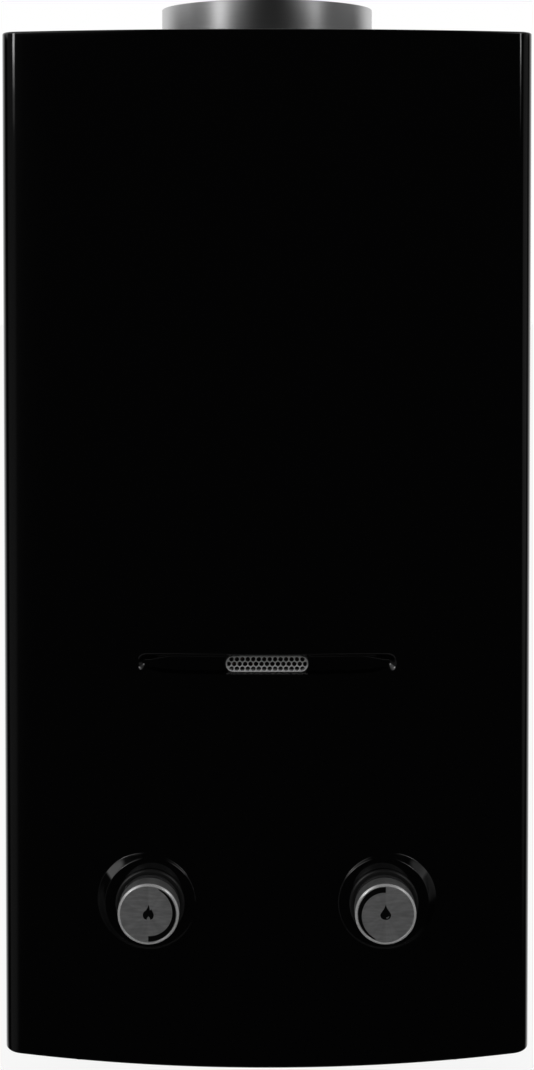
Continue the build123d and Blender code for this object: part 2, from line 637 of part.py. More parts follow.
# Hot pipe: fin tubes to the outlet under the casing
hot_end = BOTTOM_PLATE_TOP + HOT_PIPE_FOOT
with BuildPart() as hot_pipe:
    add(
        bent_tube(
            [
                (-TUBE_END, PASS_Y[-1], FIN_Z),
                (-RISER_X, PASS_Y[-1], FIN_Z),
                (-RISER_X, PASS_Y[-1], hot_end + 2 * PIPE_JOG),
                (-RISER_X, VALVE_Y, hot_end + PIPE_JOG),
                (-RISER_X, VALVE_Y, hot_end),
            ],
            TUBE_RADIUS,
            TUBE_BEND,
        )
    )

# Over-heat cut-out: eight-sided button on the side of the chamber
with BuildPart() as overheat_cutoff:
    cutoff_z = CHAMBER_BOTTOM + CUTOFF_HEIGHT
    with BuildSketch(Plane.YZ.offset(-CHAMBER_HALF)):
        with Locations((CHAMBER_Y, cutoff_z)):
            Rectangle(4 * CUTOFF_RADIUS, CUTOFF_RADIUS)
    extrude(amount=-SHEET)
    with BuildSketch(Plane.YZ.offset(-CHAMBER_HALF - SHEET)):
        with Locations((CHAMBER_Y, cutoff_z)):
            RegularPolygon(CUTOFF_RADIUS, 8)
    extrude(amount=-CUTOFF_RADIUS)

# Burner frame: sheet box under the chamber, with lips that carry the blades and holes for gas and air
with BuildPart() as burner_frame:
    extrude(chamber_plan(BURNER_BOTTOM, 0), amount=BURNER_HEIGHT)
    extrude(
        chamber_plan(BURNER_BOTTOM + SHEET, SHEET), amount=BURNER_HEIGHT, mode=Mode.SUBTRACT
    )
    with BuildSketch(Plane.XY.offset(BURNER_BOTTOM)):
        with Locations((0, CHAMBER_Y)):
            Rectangle(2 * (CHAMBER_HALF - SHEET), CHAMBER_DEPTH - 2 * (SHEET + BURNER_LIP))
    extrude(amount=SHEET, mode=Mode.SUBTRACT)
    with BuildSketch(front_plane(CHAMBER_FRONT)):
        with Locations(*[(x, VENTURI_Z) for x in BLADE_X]):
            Rectangle(2 * (INJECTOR_RADIUS + SHEET), 2 * (INJECTOR_RADIUS + SHEET))
    extrude(amount=-SHEET, mode=Mode.SUBTRACT)

# Burner blades: folded bars with a mixing foot, a thin web and a head with one long flame port
with BuildPart() as burner_blades:
    blade_front = CHAMBER_FRONT + SHEET + FIT
    blade_length = CHAMBER_DEPTH - 2 * (SHEET + FIT)
    for x in BLADE_X:
        with BuildSketch(front_plane(blade_front)):
            with Locations((x, BLADE_BASE)):
                Rectangle(BLADE_WIDTH, BLADE_FOOT, align=(Align.CENTER, Align.MIN))
                Rectangle(BLADE_WEB, BLADE_HEIGHT, align=(Align.CENTER, Align.MIN))
            with Locations((x, BLADE_BASE + BLADE_HEIGHT)):
                Trapezoid(BLADE_WIDTH, BLADE_HEAD, 65, rotation=180, align=(Align.CENTER, Align.MIN))
                Rectangle(
                    BLADE_PORT, BLADE_HEAD / 2, align=(Align.CENTER, Align.MAX), mode=Mode.SUBTRACT
                )
        extrude(amount=-blade_length)
        with BuildSketch(front_plane(blade_front)):
            with Locations((x, VENTURI_Z)):
                RegularPolygon(VENTURI_RADIUS, 8)
        extrude(amount=-VENTURI_DEPTH, mode=Mode.SUBTRACT)

# Gas manifold: square tube with an ear at each end on the burner frame
with BuildPart() as gas_manifold:
    manifold_half = CHAMBER_HALF - SHEET
    with BuildSketch(Plane.YZ.offset(-manifold_half)):
        with Locations((MANIFOLD_Y, VENTURI_Z)):
            Rectangle(MANIFOLD_SIZE, MANIFOLD_SIZE)
    extrude(amount=2 * manifold_half)
    with BuildSketch(Plane.YZ.offset(-manifold_half + MANIFOLD_WALL)):
        with Locations((MANIFOLD_Y, VENTURI_Z)):
            Rectangle(MANIFOLD_SIZE - 2 * MANIFOLD_WALL, MANIFOLD_SIZE - 2 * MANIFOLD_WALL)
    extrude(amount=2 * (manifold_half - MANIFOLD_WALL), mode=Mode.SUBTRACT)
    for x in (-manifold_half, manifold_half - MANIFOLD_WALL):
        with BuildSketch(Plane.YZ.offset(x)):
            with Locations((MANIFOLD_BACK, VENTURI_Z)):
                Rectangle(INJECTOR_LENGTH, MANIFOLD_SIZE, align=(Align.MIN, Align.CENTER))
        extrude(amount=MANIFOLD_WALL)

# Gas injectors: one brass jet for each blade, a hexagon with a tapered tip
with BuildPart() as gas_injectors:
    shank = INJECTOR_LENGTH / 2
    with BuildSketch(front_plane(MANIFOLD_BACK)):
        with Locations(*[(x, VENTURI_Z) for x in BLADE_X]):
            RegularPolygon(INJECTOR_RADIUS, 6)
    extrude(amount=-shank)
    with BuildSketch(front_plane(MANIFOLD_BACK + shank)):
        with Locations(*[(x, VENTURI_Z) for x in BLADE_X]):
            RegularPolygon(INJECTOR_TIP, 6)
    extrude(amount=-shank)

# Gas riser: gas valve to manifold
with BuildPart() as gas_riser:
    manifold_under = VENTURI_Z - MANIFOLD_SIZE / 2
    add(
        bent_tube(
            [
                (-KNOB_X, VALVE_Y, valve_top),
                (-KNOB_X, VALVE_Y, valve_top + RISER_LEG),
                (-KNOB_X, MANIFOLD_Y, manifold_under - RISER_LEG),
                (-KNOB_X, MANIFOLD_Y, manifold_under),
            ],
            TUBE_RADIUS,
            RISER_BEND,
        )
    )

# Electrode insulators: two ceramic rods with square collars through the side of the chamber
with BuildPart() as electrode_insulators:
    with BuildSketch(Plane.YZ.offset(CHAMBER_HALF - ELECTRODE_INSIDE)):
        with Locations(*[(y, ELECTRODE_Z) for y in ELECTRODE_Y]):
            RegularPolygon(ELECTRODE_RADIUS, 8)
    extrude(amount=ELECTRODE_INSIDE + ELECTRODE_OUTSIDE)
    with BuildSketch(Plane.YZ.offset(CHAMBER_HALF)):
        with Locations(*[(y, ELECTRODE_Z) for y in ELECTRODE_Y]):
            Rectangle(2 * ELECTRODE_COLLAR, 2 * ELECTRODE_COLLAR)
    extrude(amount=2 * SHEET)

# Electrode pins: spark pin and flame sensor pin
with BuildPart() as electrode_pins:
    with BuildSketch(Plane.YZ.offset(CHAMBER_HALF - ELECTRODE_INSIDE)):
        with Locations(*[(y, ELECTRODE_Z) for y in ELECTRODE_Y]):
            RegularPolygon(ELECTRODE_PIN, 6)
    extrude(amount=-ELECTRODE_PIN_LENGTH)

# Gas valve body: cast block with bosses for the stem, the inlet and the outlet
with BuildPart() as gas_valve_body:
    with BuildSketch(Plane.YZ.offset(-KNOB_X - GAS_LEFT)):
        with Locations((VALVE_Y, KNOB_Z)):
            Rectangle(2 * GAS_BODY_HALF, 2 * GAS_BODY_HALF)
    extrude(amount=GAS_LEFT + GAS_RIGHT)
    chamfer(gas_valve_body.edges().filter_by(Axis.X), CASTING_EDGE)
    with BuildSketch(front_plane(VALVE_Y)):
        with Locations((-KNOB_X, KNOB_Z)):
            RegularPolygon(STEM_BOSS_RADIUS, 8)
    extrude(amount=STEM_BOSS_LENGTH)
    with BuildSketch(Plane.XY.offset(KNOB_Z)):
        with Locations((-KNOB_X, VALVE_Y)):
            RegularPolygon(OUTLET_RADIUS, 6)
    extrude(amount=OUTLET_RISE)
    with BuildSketch(Plane.XY.offset(KNOB_Z)):
        with Locations((-KNOB_X, VALVE_Y)):
            RegularPolygon(INLET_RADIUS, 6, major_radius=False)
    extrude(amount=-INLET_DROP)
    with BuildSketch(front_plane(VALVE_Y - STEM_BOSS_LENGTH)):
        with Locations((-KNOB_X, KNOB_Z)):
            Circle(STEM_RADIUS + RUNNING)
    extrude(amount=-(STEM_SINK + SHEET), mode=Mode.SUBTRACT)
    with BuildSketch(Plane.YZ.offset(GAS_END)):
        with Locations((VALVE_Y, KNOB_Z)):
            RegularPolygon(ROD_RADIUS + RUNNING, 8)
    extrude(amount=-ROD_SOCKET, mode=Mode.SUBTRACT)

# Gas solenoid: coil in a square frame on the back of the gas valve
with BuildPart() as gas_solenoid:
    with BuildSketch(front_plane(VALVE_Y + GAS_BODY_HALF)):
        with Locations((-KNOB_X, KNOB_Z)):
            Rectangle(SOLENOID_SIDE, SOLENOID_SIDE)
    extrude(amount=-SOLENOID_LENGTH)
    chamfer(gas_solenoid.edges().filter_by(Axis.Y), CASTING_EDGE)

# Water valve body: brass casting with the inner half of the diaphragm housing and a drain arm
with BuildPart() as water_valve_body:
    with BuildSketch(Plane.XY.offset(KNOB_Z - INLET_DROP)):
        with Locations((KNOB_X, VALVE_Y)):
            Rectangle(2 * WATER_BODY_HALF, 2 * WATER_BODY_HALF)
    extrude(amount=INLET_DROP + OUTLET_RISE)
    chamfer(water_valve_body.edges().filter_by(Axis.Z), CASTING_EDGE)
    with BuildSketch(front_plane(VALVE_Y)):
        with Locations((KNOB_X, KNOB_Z)):
            RegularPolygon(STEM_BOSS_RADIUS, 8)
    extrude(amount=STEM_BOSS_LENGTH)
    with BuildSketch(Plane.YZ.offset(HOUSING_X)):
        with Locations((VALVE_Y, KNOB_Z)):
            Rectangle(2 * WATER_BODY_HALF, 2 * CAVITY_RADIUS)
    extrude(amount=DIAPHRAGM_OFFSET)
    with BuildSketch(Plane.YZ.offset(DIAPHRAGM_X)):
        with Locations((VALVE_Y, KNOB_Z)):
            Rectangle(DIAPHRAGM_SIDE, DIAPHRAGM_SIDE)
    extrude(amount=DIAPHRAGM_HALF)
    with BuildSketch(Plane.YZ.offset(DIAPHRAGM_X)):
        with Locations((VALVE_Y, KNOB_Z)):
            RegularPolygon(CAVITY_RADIUS, 8, major_radius=False)
    extrude(amount=CAVITY_DEPTH, mode=Mode.SUBTRACT)
    drain_z = KNOB_Z - INLET_DROP / 2
    with BuildSketch(Plane.YZ.offset(KNOB_X)):
        with Locations((VALVE_Y, drain_z)):
            Rectangle(2 * DRAIN_ARM_HALF, 2 * DRAIN_ARM_HALF)
    extrude(amount=DRAIN_OFFSET)
    with BuildSketch(Plane.XY.offset(drain_z + DRAIN_ARM_HALF)):
        with Locations((DRAIN_X, VALVE_Y)):
            RegularPolygon(DRAIN_BOSS_RADIUS, 6, major_radius=False)
    extrude(amount=-DRAIN_BOSS_LENGTH)
    with BuildSketch(front_plane(VALVE_Y - STEM_BOSS_LENGTH)):
        with Locations((KNOB_X, KNOB_Z)):
            Circle(STEM_RADIUS + RUNNING)
    extrude(amount=-(STEM_SINK + SHEET), mode=Mode.SUBTRACT)

# Diaphragm: square of rubber clamped between the halves of its housing, open round the piston
with BuildPart() as diaphragm:
    with BuildSketch(Plane.YZ.offset(DIAPHRAGM_X - DIAPHRAGM_SHEET)):
        with Locations((VALVE_Y, KNOB_Z)):
            Rectangle(DIAPHRAGM_SIDE, DIAPHRAGM_SIDE)
            RegularPolygon(CAVITY_RADIUS - FIT, 8, major_radius=False, mode=Mode.SUBTRACT)
    extrude(amount=DIAPHRAGM_SHEET)

# Diaphragm cover: outer half of the housing, with the bush for the rod
with BuildPart() as diaphragm_cover:
    with BuildSketch(Plane.YZ.offset(COVER_X)):
        with Locations((VALVE_Y, KNOB_Z)):
            Rectangle(DIAPHRAGM_SIDE, DIAPHRAGM_SIDE)
    extrude(amount=DIAPHRAGM_HALF)
    with BuildSketch(Plane.YZ.offset(COVER_X)):
        with Locations((VALVE_Y, KNOB_Z)):
            RegularPolygon(BUSH_RADIUS, 8, major_radius=False)
    extrude(amount=-BUSH_LENGTH)
    with BuildSketch(Plane.YZ.offset(COVER_X + DIAPHRAGM_HALF)):
        with Locations((VALVE_Y, KNOB_Z)):
            RegularPolygon(CAVITY_RADIUS, 8, major_radius=False)
    extrude(amount=-CAVITY_DEPTH, mode=Mode.SUBTRACT)
    with BuildSketch(Plane.YZ.offset(COVER_X + DIAPHRAGM_HALF)):
        with Locations((VALVE_Y, KNOB_Z)):
            RegularPolygon(ROD_RADIUS + RUNNING, 8)
    extrude(amount=-DIAPHRAGM_HALF - BUSH_LENGTH, mode=Mode.SUBTRACT)

# Linkage rod: diaphragm piston, rod and the collar that trips the switch
with BuildPart() as linkage_rod:
    piston_x = DIAPHRAGM_X - DIAPHRAGM_SHEET
    rod_start = GAS_END - ROD_SINK
    with BuildSketch(Plane.YZ.offset(rod_start)):
        with Locations((VALVE_Y, KNOB_Z)):
            RegularPolygon(ROD_RADIUS, 8)
    extrude(amount=piston_x - rod_start)
    with BuildSketch(Plane.YZ.offset(piston_x)):
        with Locations((VALVE_Y, KNOB_Z)):
            RegularPolygon(PISTON_RADIUS, 8, major_radius=False)
    extrude(amount=PISTON_THICKNESS)
    with BuildSketch(Plane.YZ.offset(ROD_COLLAR_X)):
        with Locations((VALVE_Y, KNOB_Z)):
            Rectangle(2 * ROD_COLLAR_HALF, 2 * ROD_COLLAR_HALF)
    extrude(amount=ROD_COLLAR_THICKNESS)

# Linkage frame: cast yoke between the two valves, with a tab for the switch
with BuildPart() as linkage_frame:
    with BuildSketch(front_plane(FRAME_BACK)):
        with Locations(((GAS_END + COVER_X) / 2, KNOB_Z)):
            Rectangle(COVER_X - GAS_END, FRAME_HEIGHT)
        with Locations((ROD_COLLAR_X, KNOB_Z)):
            Rectangle(
                SWITCH_LENGTH, SWITCH_RISE + SWITCH_HEIGHT, align=(Align.MAX, Align.MIN)
            )
    extrude(amount=FRAME_PLATE)
    for x, hole in ((GAS_END, ROD_RADIUS + SHEET), (COVER_X - FRAME_LUG, BUSH_RADIUS + FIT)):
        with BuildSketch(Plane.YZ.offset(x)):
            with Locations((FRAME_FRONT, KNOB_Z)):
                Rectangle(2 * FRAME_SETBACK, FRAME_HEIGHT, align=(Align.MAX, Align.CENTER))
            with Locations((VALVE_Y, KNOB_Z)):
                RegularPolygon(hole, 8, major_radius=False, mode=Mode.SUBTRACT)
        extrude(amount=FRAME_LUG)

# Microswitch: switch body with two ears for its lever
LEVER_X = ROD_COLLAR_X - LEVER_GAP - LEVER_SHEET / 2
LEVER_Z = KNOB_Z + SWITCH_RISE - LEVER_DROP
LEVER_BACK = FRAME_FRONT - SWITCH_DEPTH / 2 + EAR
with BuildPart() as microswitch:
    with BuildSketch(front_plane(FRAME_FRONT)):
        with Locations((ROD_COLLAR_X, KNOB_Z + SWITCH_RISE)):
            Rectangle(SWITCH_LENGTH, SWITCH_HEIGHT, align=(Align.MAX, Align.MIN))
    extrude(amount=SWITCH_DEPTH)
    for ear_back in (LEVER_BACK + EAR + EAR_GAP, LEVER_BACK - LEVER_WIDTH - EAR_GAP):
        with BuildSketch(front_plane(ear_back)):
            with Locations((LEVER_X, LEVER_Z)):
                Rectangle(2 * LEVER_DROP, 2 * LEVER_DROP)
                RegularPolygon(
                    LEVER_PIN_RADIUS + LEVER_PIN_RUNNING, 8, major_radius=False, mode=Mode.SUBTRACT
                )
        extrude(amount=EAR)

# Microswitch lever: leaf on a pin in the switch's ears
with BuildPart() as microswitch_lever:
    with BuildSketch(front_plane(LEVER_BACK)):
        with Locations((LEVER_X, LEVER_Z)):
            Rectangle(LEVER_SHEET, LEVER_LENGTH, align=(Align.CENTER, Align.MAX))
            Rectangle(2 * LEVER_PIN_RADIUS, 2 * LEVER_PIN_RADIUS)
    extrude(amount=LEVER_WIDTH)
    with BuildSketch(front_plane(LEVER_BACK + EAR + EAR_GAP)):
        with Locations((LEVER_X, LEVER_Z)):
            Circle(LEVER_PIN_RADIUS)
    extrude(amount=LEVER_WIDTH + 2 * (EAR + EAR_GAP))

# Valve bracket: folded strap from the back plate to the linkage frame
with BuildPart() as valve_bracket:
    half_sheet = VALVE_BRACKET_SHEET / 2
    bracket_x = (GAS_END + COVER_X) / 2 - VALVE_BRACKET_WIDTH / 2
    with BuildSketch(Plane.YZ.offset(bracket_x)):
        with BuildLine():
            Polyline(
                (-SHEET, KNOB_Z + VALVE_BRACKET_LEG),
                (-SHEET, KNOB_Z - half_sheet),
                (FRAME_BACK + VALVE_BRACKET_SHEET, KNOB_Z - half_sheet),
                (FRAME_BACK + VALVE_BRACKET_SHEET, KNOB_Z - FRAME_HEIGHT / 2),
                (FRAME_BACK, KNOB_Z - FRAME_HEIGHT / 2),
                (FRAME_BACK, KNOB_Z + half_sheet),
                (-SHEET - VALVE_BRACKET_SHEET, KNOB_Z + half_sheet),
                (-SHEET - VALVE_BRACKET_SHEET, KNOB_Z + VALVE_BRACKET_LEG),
                close=True,
            )
        make_face()
    extrude(amount=VALVE_BRACKET_WIDTH)


def nipple(x, top):
    """Pipe connection through the bottom plate at x, from top down, with a hexagon under the plate."""
    plate_under = CASE_BOTTOM + SHEET
    with BuildPart() as fitting:
        with BuildSketch(Plane.XY.offset(CASE_BOTTOM - NIPPLE_PROJECTION)):
            with Locations((x, VALVE_Y)):
                Circle(NIPPLE_RADIUS)
        extrude(amount=NIPPLE_PROJECTION)
        with BuildSketch(Plane.XY.offset(plate_under)):
            with Locations((x, VALVE_Y)):
                RegularPolygon(NIPPLE_HEX, 6, major_radius=False, rotation=30)
        extrude(amount=-NIPPLE_HEX_HEIGHT)
        with BuildSketch(Plane.XY.offset(plate_under)):
            with Locations((x, VALVE_Y)):
                RegularPolygon(NIPPLE_NECK, 8)
        extrude(amount=top - plate_under)
        with BuildSketch(Plane.XY.offset(CASE_BOTTOM - NIPPLE_PROJECTION)):
            with Locations((x, VALVE_Y)):
                RegularPolygon(NIPPLE_BORE, 8)
        extrude(amount=NIPPLE_PROJECTION, mode=Mode.SUBTRACT)
    return fitting.part


# Pipe connections: cold water and gas from the valves, hot water from the hot pipe
with BuildPart() as cold_inlet:
    add(nipple(NIPPLES["cold_inlet"], KNOB_Z - INLET_DROP))

with BuildPart() as gas_inlet:
    add(nipple(NIPPLES["gas_inlet"], KNOB_Z - INLET_DROP))

with BuildPart() as hot_outlet:
    add(nipple(NIPPLES["hot_outlet"], hot_end))

# Drain plug: screwed up into the drain boss, with a winged head under the casing
with BuildPart() as drain_plug:
    plug_top = drain_z + DRAIN_ARM_HALF - DRAIN_BOSS_LENGTH
    with BuildSketch(Plane.XY.offset(CASE_BOTTOM)):
        with Locations((DRAIN_X, VALVE_Y)):
            RegularPolygon(DRAIN_RADIUS, 8)
    extrude(amount=plug_top - CASE_BOTTOM)
    with BuildSketch(Plane.XY.offset(CASE_BOTTOM)):
        with Locations((DRAIN_X, VALVE_Y)):
            RegularPolygon(DRAIN_HEAD_RADIUS, 12)
    extrude(amount=-DRAIN_HEAD_HEIGHT / 2)
    with BuildSketch(Plane.XY.offset(CASE_BOTTOM - DRAIN_HEAD_HEIGHT / 2)):
        with Locations((DRAIN_X, VALVE_Y)):
            Rectangle(2 * DRAIN_HEAD_RADIUS - DRAIN_WING, DRAIN_WING)
    extrude(amount=-DRAIN_HEAD_HEIGHT)

# Ignition module: plastic box on the back plate, with two lead posts
POST_X = [MODULE_X + side * MODULE_POST_SPACING / 2 for side in (-1, 1)]
MODULE_TOP = MODULE_Z + MODULE_HEIGHT / 2
with BuildPart() as ignition_module:
    with BuildSketch(front_plane(-SHEET)):
        with Locations((MODULE_X, MODULE_Z)):
            Rectangle(MODULE_WIDTH, MODULE_HEIGHT)
    extrude(amount=MODULE_DEPTH)
    front_edges = ignition_module.faces().sort_by(Axis.Y)[0].edges()
    chamfer(front_edges, MODULE_EDGE)
    with BuildSketch(Plane.XY.offset(MODULE_TOP)):
        with Locations(*[(x, MODULE_Y) for x in POST_X]):
            RegularPolygon(MODULE_POST_RADIUS, 6)
    extrude(amount=MODULE_POST_HEIGHT)

# Ignition leads: from the module's posts up and out to the two electrodes
with BuildPart() as ignition_leads:
    post_top = MODULE_TOP + MODULE_POST_HEIGHT
    electrode_end = CHAMBER_HALF + ELECTRODE_OUTSIDE
    for i, y in enumerate(ELECTRODE_Y):
        lead_x = electrode_end + LEAD_RUN + i * LEAD_STEP
        add(
            bent_tube(
                [
                    (electrode_end, y, ELECTRODE_Z),
                    (lead_x, y, ELECTRODE_Z),
                    (POST_X[i], MODULE_Y, post_top + LEAD_RUN),
                    (POST_X[i], MODULE_Y, post_top),
                ],
                LEAD_RADIUS,
                LEAD_BEND,
            )
        )

# Battery box: tray for two cells in line, open below, with hinge lugs at its back edge
LUG_OFFSET = DOOR_BARREL_LENGTH / 2 + DOOR_GAP
with BuildPart() as battery_box:
    with BuildSketch(Plane.XY.offset(DOOR_TOP + DOOR_GAP)):
        with Locations((0, BOX_Y)):
            Rectangle(BOX_LENGTH, BOX_DEPTH)
    extrude(amount=BOX_TOP - DOOR_TOP - DOOR_GAP)
    with BuildSketch(Plane.XY.offset(DOOR_TOP)):
        with Locations((0, BOX_Y)):
            Rectangle(BOX_LENGTH - 2 * BOX_WALL, BOX_DEPTH - 2 * BOX_WALL)
    extrude(amount=BOX_TOP - BOX_WALL - DOOR_TOP, mode=Mode.SUBTRACT)
    with BuildSketch(Plane.XY.offset(BOTTOM_PLATE_TOP)):
        with Locations((0, BOX_Y)):
            Rectangle(BOX_LENGTH + 2 * DOOR_LUG, BOX_DEPTH)
            Rectangle(BOX_LENGTH - BOX_WALL, BOX_DEPTH - BOX_WALL, mode=Mode.SUBTRACT)
    extrude(amount=BOX_WALL)
    lug_top = BOTTOM_PLATE_TOP + DOOR_LUG
    for start, length in ((LUG_OFFSET, DOOR_LUG), (-LUG_OFFSET, -DOOR_LUG)):
        with BuildSketch(Plane.YZ.offset(start)):
            with Locations((HINGE_Y, HINGE_Z)):
                RegularPolygon(DOOR_BARREL_RADIUS, 8)
            with Locations((HINGE_Y + DOOR_BARREL_RADIUS, HINGE_Z)):
                Rectangle(2 * DOOR_BARREL_RADIUS, lug_top - HINGE_Z, align=(Align.MAX, Align.MIN))
            with Locations((HINGE_Y, lug_top)):
                Rectangle(
                    HINGE_Y - BOX_BACK + BOX_WALL / 2, DOOR_LUG, align=(Align.MAX, Align.MIN)
                )
            with Locations((HINGE_Y, HINGE_Z)):
                RegularPolygon(DOOR_PIN_RADIUS + DOOR_PIN_RUNNING, 8, mode=Mode.SUBTRACT)
        extrude(amount=length)

# Battery cells: two in line, nubs to the right
with BuildPart() as battery_cells:
    for left in (-CELL_LENGTH - CELL_GAP / 2, CELL_GAP / 2):
        with BuildSketch(Plane.YZ.offset(left)):
            with Locations((BOX_Y, CELL_Z)):
                RegularPolygon(CELL_RADIUS, 12)
        extrude(amount=CELL_LENGTH - CELL_NUB_LENGTH)
        with BuildSketch(Plane.YZ.offset(left + CELL_LENGTH - CELL_NUB_LENGTH)):
            with Locations((BOX_Y, CELL_Z)):
                RegularPolygon(CELL_NUB_RADIUS, 8)
        extrude(amount=CELL_NUB_LENGTH)

# Battery contacts: a spring-steel plate at each end of the box
with BuildPart() as battery_contacts:
    wall_x = BOX_LENGTH / 2 - BOX_WALL
    for x in (-wall_x, wall_x - CONTACT_SHEET):
        with BuildSketch(Plane.YZ.offset(x)):
            with Locations((BOX_Y, CELL_Z)):
                Rectangle(CONTACT_WIDTH, CONTACT_HEIGHT)
        extrude(amount=CONTACT_SHEET)

# Battery door: plate with a hinge barrel at the back and a grip ridge at the front
with BuildPart() as battery_door:
    door_back = HINGE_Y - DOOR_BARREL_RADIUS - DOOR_GAP
    with BuildSketch(Plane.XY.offset(CASE_BOTTOM)):
        with Locations((0, (BOX_FRONT + door_back) / 2)):
            Rectangle(BOX_LENGTH - DOOR_GAP, door_back - BOX_FRONT)
    extrude(amount=DOOR_SHEET)
    with BuildSketch(Plane.XY.offset(CASE_BOTTOM)):
        with Locations((0, BOX_FRONT + 2 * DOOR_SHEET)):
            Rectangle(DOOR_RIDGE, 2 * DOOR_SHEET)
    extrude(amount=-DOOR_SHEET)
    with BuildSketch(Plane.YZ.offset(-DOOR_BARREL_LENGTH / 2)):
        with Locations((HINGE_Y, HINGE_Z)):
            RegularPolygon(DOOR_BARREL_RADIUS, 8)
            Rectangle(
                HINGE_Y - door_back + DOOR_SHEET, DOOR_SHEET, align=(Align.MAX, Align.CENTER)
            )
            Circle(DOOR_PIN_RADIUS + DOOR_PIN_RUNNING, mode=Mode.SUBTRACT)
    extrude(amount=DOOR_BARREL_LENGTH)

# Door pin: steel wire through the lugs and the barrel
with BuildPart() as door_pin:
    pin_half = LUG_OFFSET + DOOR_LUG
    with BuildSketch(Plane.YZ.offset(-pin_half)):
        with Locations((HINGE_Y, HINGE_Z)):
            RegularPolygon(DOOR_PIN_RADIUS, 8)
    extrude(amount=2 * pin_half)

# Window mesh: pan of perforated sheet pushed through the channel floor from behind
MESH_FACE = -CASE_DEPTH + CHANNEL_DEPTH - MESH_PROUD
FLANGE_FRONT = bow_y(MESH_LENGTH / 2 + MESH_FLANGE, CHANNEL_DEPTH + SHEET) + BRAZE
with BuildPart() as window_mesh:
    with BuildSketch(front_plane(FLANGE_FRONT)):
        with Locations((0, WINDOW_Z)):
            SlotOverall(MESH_LENGTH, MESH_WIDTH)
    extrude(amount=FLANGE_FRONT - MESH_FACE)
    with BuildSketch(front_plane(FLANGE_FRONT + MESH_SHEET)):
        with Locations((0, WINDOW_Z)):
            Rectangle(MESH_LENGTH + 2 * MESH_FLANGE, MESH_WIDTH + 2 * MESH_FLANGE)
    extrude(amount=MESH_SHEET)
    with BuildSketch(front_plane(FLANGE_FRONT + MESH_SHEET)):
        with Locations((0, WINDOW_Z)):
            inside = Rectangle(MESH_LENGTH - 2 * MESH_SHEET, MESH_WIDTH - 2 * MESH_SHEET)
        chamfer(inside.vertices(), MESH_WIDTH / 4)
    extrude(amount=FLANGE_FRONT - MESH_FACE, mode=Mode.SUBTRACT)
    middle_row = int((MESH_LENGTH - 2 * MESH_SHEET - 2 * MESH_HOLE_RADIUS) // MESH_PITCH) + 1
    with BuildSketch(front_plane(MESH_FACE)):
        for row, count in ((-1, middle_row - 1), (0, middle_row), (1, middle_row - 1)):
            with Locations((0, WINDOW_Z + row * MESH_ROW)):
                with GridLocations(MESH_PITCH, 0, count, 1):
                    RegularPolygon(MESH_HOLE_RADIUS, 4)
    extrude(amount=-MESH_SHEET, mode=Mode.SUBTRACT)

# Window pane: heat-proof glass behind the mesh
PANE_FRONT = FLANGE_FRONT + MESH_SHEET
with BuildPart() as window_pane:
    with BuildSketch(front_plane(PANE_FRONT)):
        with Locations((0, WINDOW_Z)):
            Rectangle(MESH_LENGTH + 2 * MESH_FLANGE, MESH_WIDTH + 2 * MESH_FLANGE)
    extrude(amount=-PANE_THICKNESS)

# Window clamp: strip with turned-up ends that holds pane and mesh against the cover
with BuildPart() as window_clamp:
    clamp_front = PANE_FRONT + PANE_THICKNESS
    foot_tip = bow_y(CLAMP_LENGTH / 2, CHANNEL_DEPTH + SHEET) + BRAZE
    with BuildSketch(front_plane(clamp_front)):
        with Locations((0, WINDOW_Z)):
            Rectangle(CLAMP_LENGTH, MESH_WIDTH + 2 * MESH_FLANGE)
            Rectangle(MESH_LENGTH - 2 * MESH_FLANGE, MESH_WIDTH, mode=Mode.SUBTRACT)
    extrude(amount=-SHEET)
    with BuildSketch(front_plane(clamp_front)):
        for side in (-1, 1):
            with Locations((side * (CLAMP_LENGTH - CLAMP_FOOT) / 2, WINDOW_Z)):
                Rectangle(CLAMP_FOOT, MESH_WIDTH)
    extrude(amount=clamp_front - foot_tip)


def bezel(x):
    """Many-sided ring with a sloping edge round a knob, on a neck that grips the seat's hole."""
    neck_end = SEAT_Y + SHEET + BEZEL_GRIP
    with BuildPart() as ring:
        with BuildSketch(front_plane(SEAT_Y)):
            with Locations((x, KNOB_Z)):
                RegularPolygon(BEZEL_RADIUS, 24)
        extrude(amount=BEZEL_PROUD, taper=BEZEL_TAPER)
        with BuildSketch(front_plane(SEAT_Y)):
            with Locations((x, KNOB_Z)):
                RegularPolygon(SEAT_HOLE_RADIUS - FIT, 16)
        extrude(amount=SEAT_Y - neck_end)
        with BuildSketch(front_plane(neck_end)):
            with Locations((x, KNOB_Z)):
                RegularPolygon(BEZEL_RADIUS - BEZEL_WALL, 16)
        extrude(amount=neck_end - SEAT_Y + BEZEL_PROUD, mode=Mode.SUBTRACT)
    return ring.part


CORE_RADIUS = KNOB_RADIUS - CAP_WALL - RUNNING
CORE_FRONT = KNOB_REACH - CAP_WALL - RUNNING


def stem_profile(radius, flat):
    """D-shaped section of a stem, with its flat that far from the axis."""
    with BuildSketch() as section:
        Circle(radius)
        with Locations((0, flat)):
            Rectangle(2 * radius, radius, align=(Align.CENTER, Align.MIN), mode=Mode.SUBTRACT)
    return section.sketch


def knob_core(x):
    """Moulded inner knob with eight sides and a D-shaped socket for the stem."""
    with BuildPart() as core:
        with BuildSketch(front_plane(SEAT_Y - CORE_GAP)):
            with Locations((x, KNOB_Z)):
                RegularPolygon(CORE_RADIUS, 8)
        extrude(amount=CORE_FRONT - CORE_GAP)
        with BuildSketch(front_plane(SEAT_Y - CORE_GAP)):
            with Locations((x, KNOB_Z)):
                add(stem_profile(STEM_RADIUS + RUNNING, STEM_FLAT + RUNNING))
        extrude(amount=STEM_GRIP + RUNNING, mode=Mode.SUBTRACT)
    return core.part


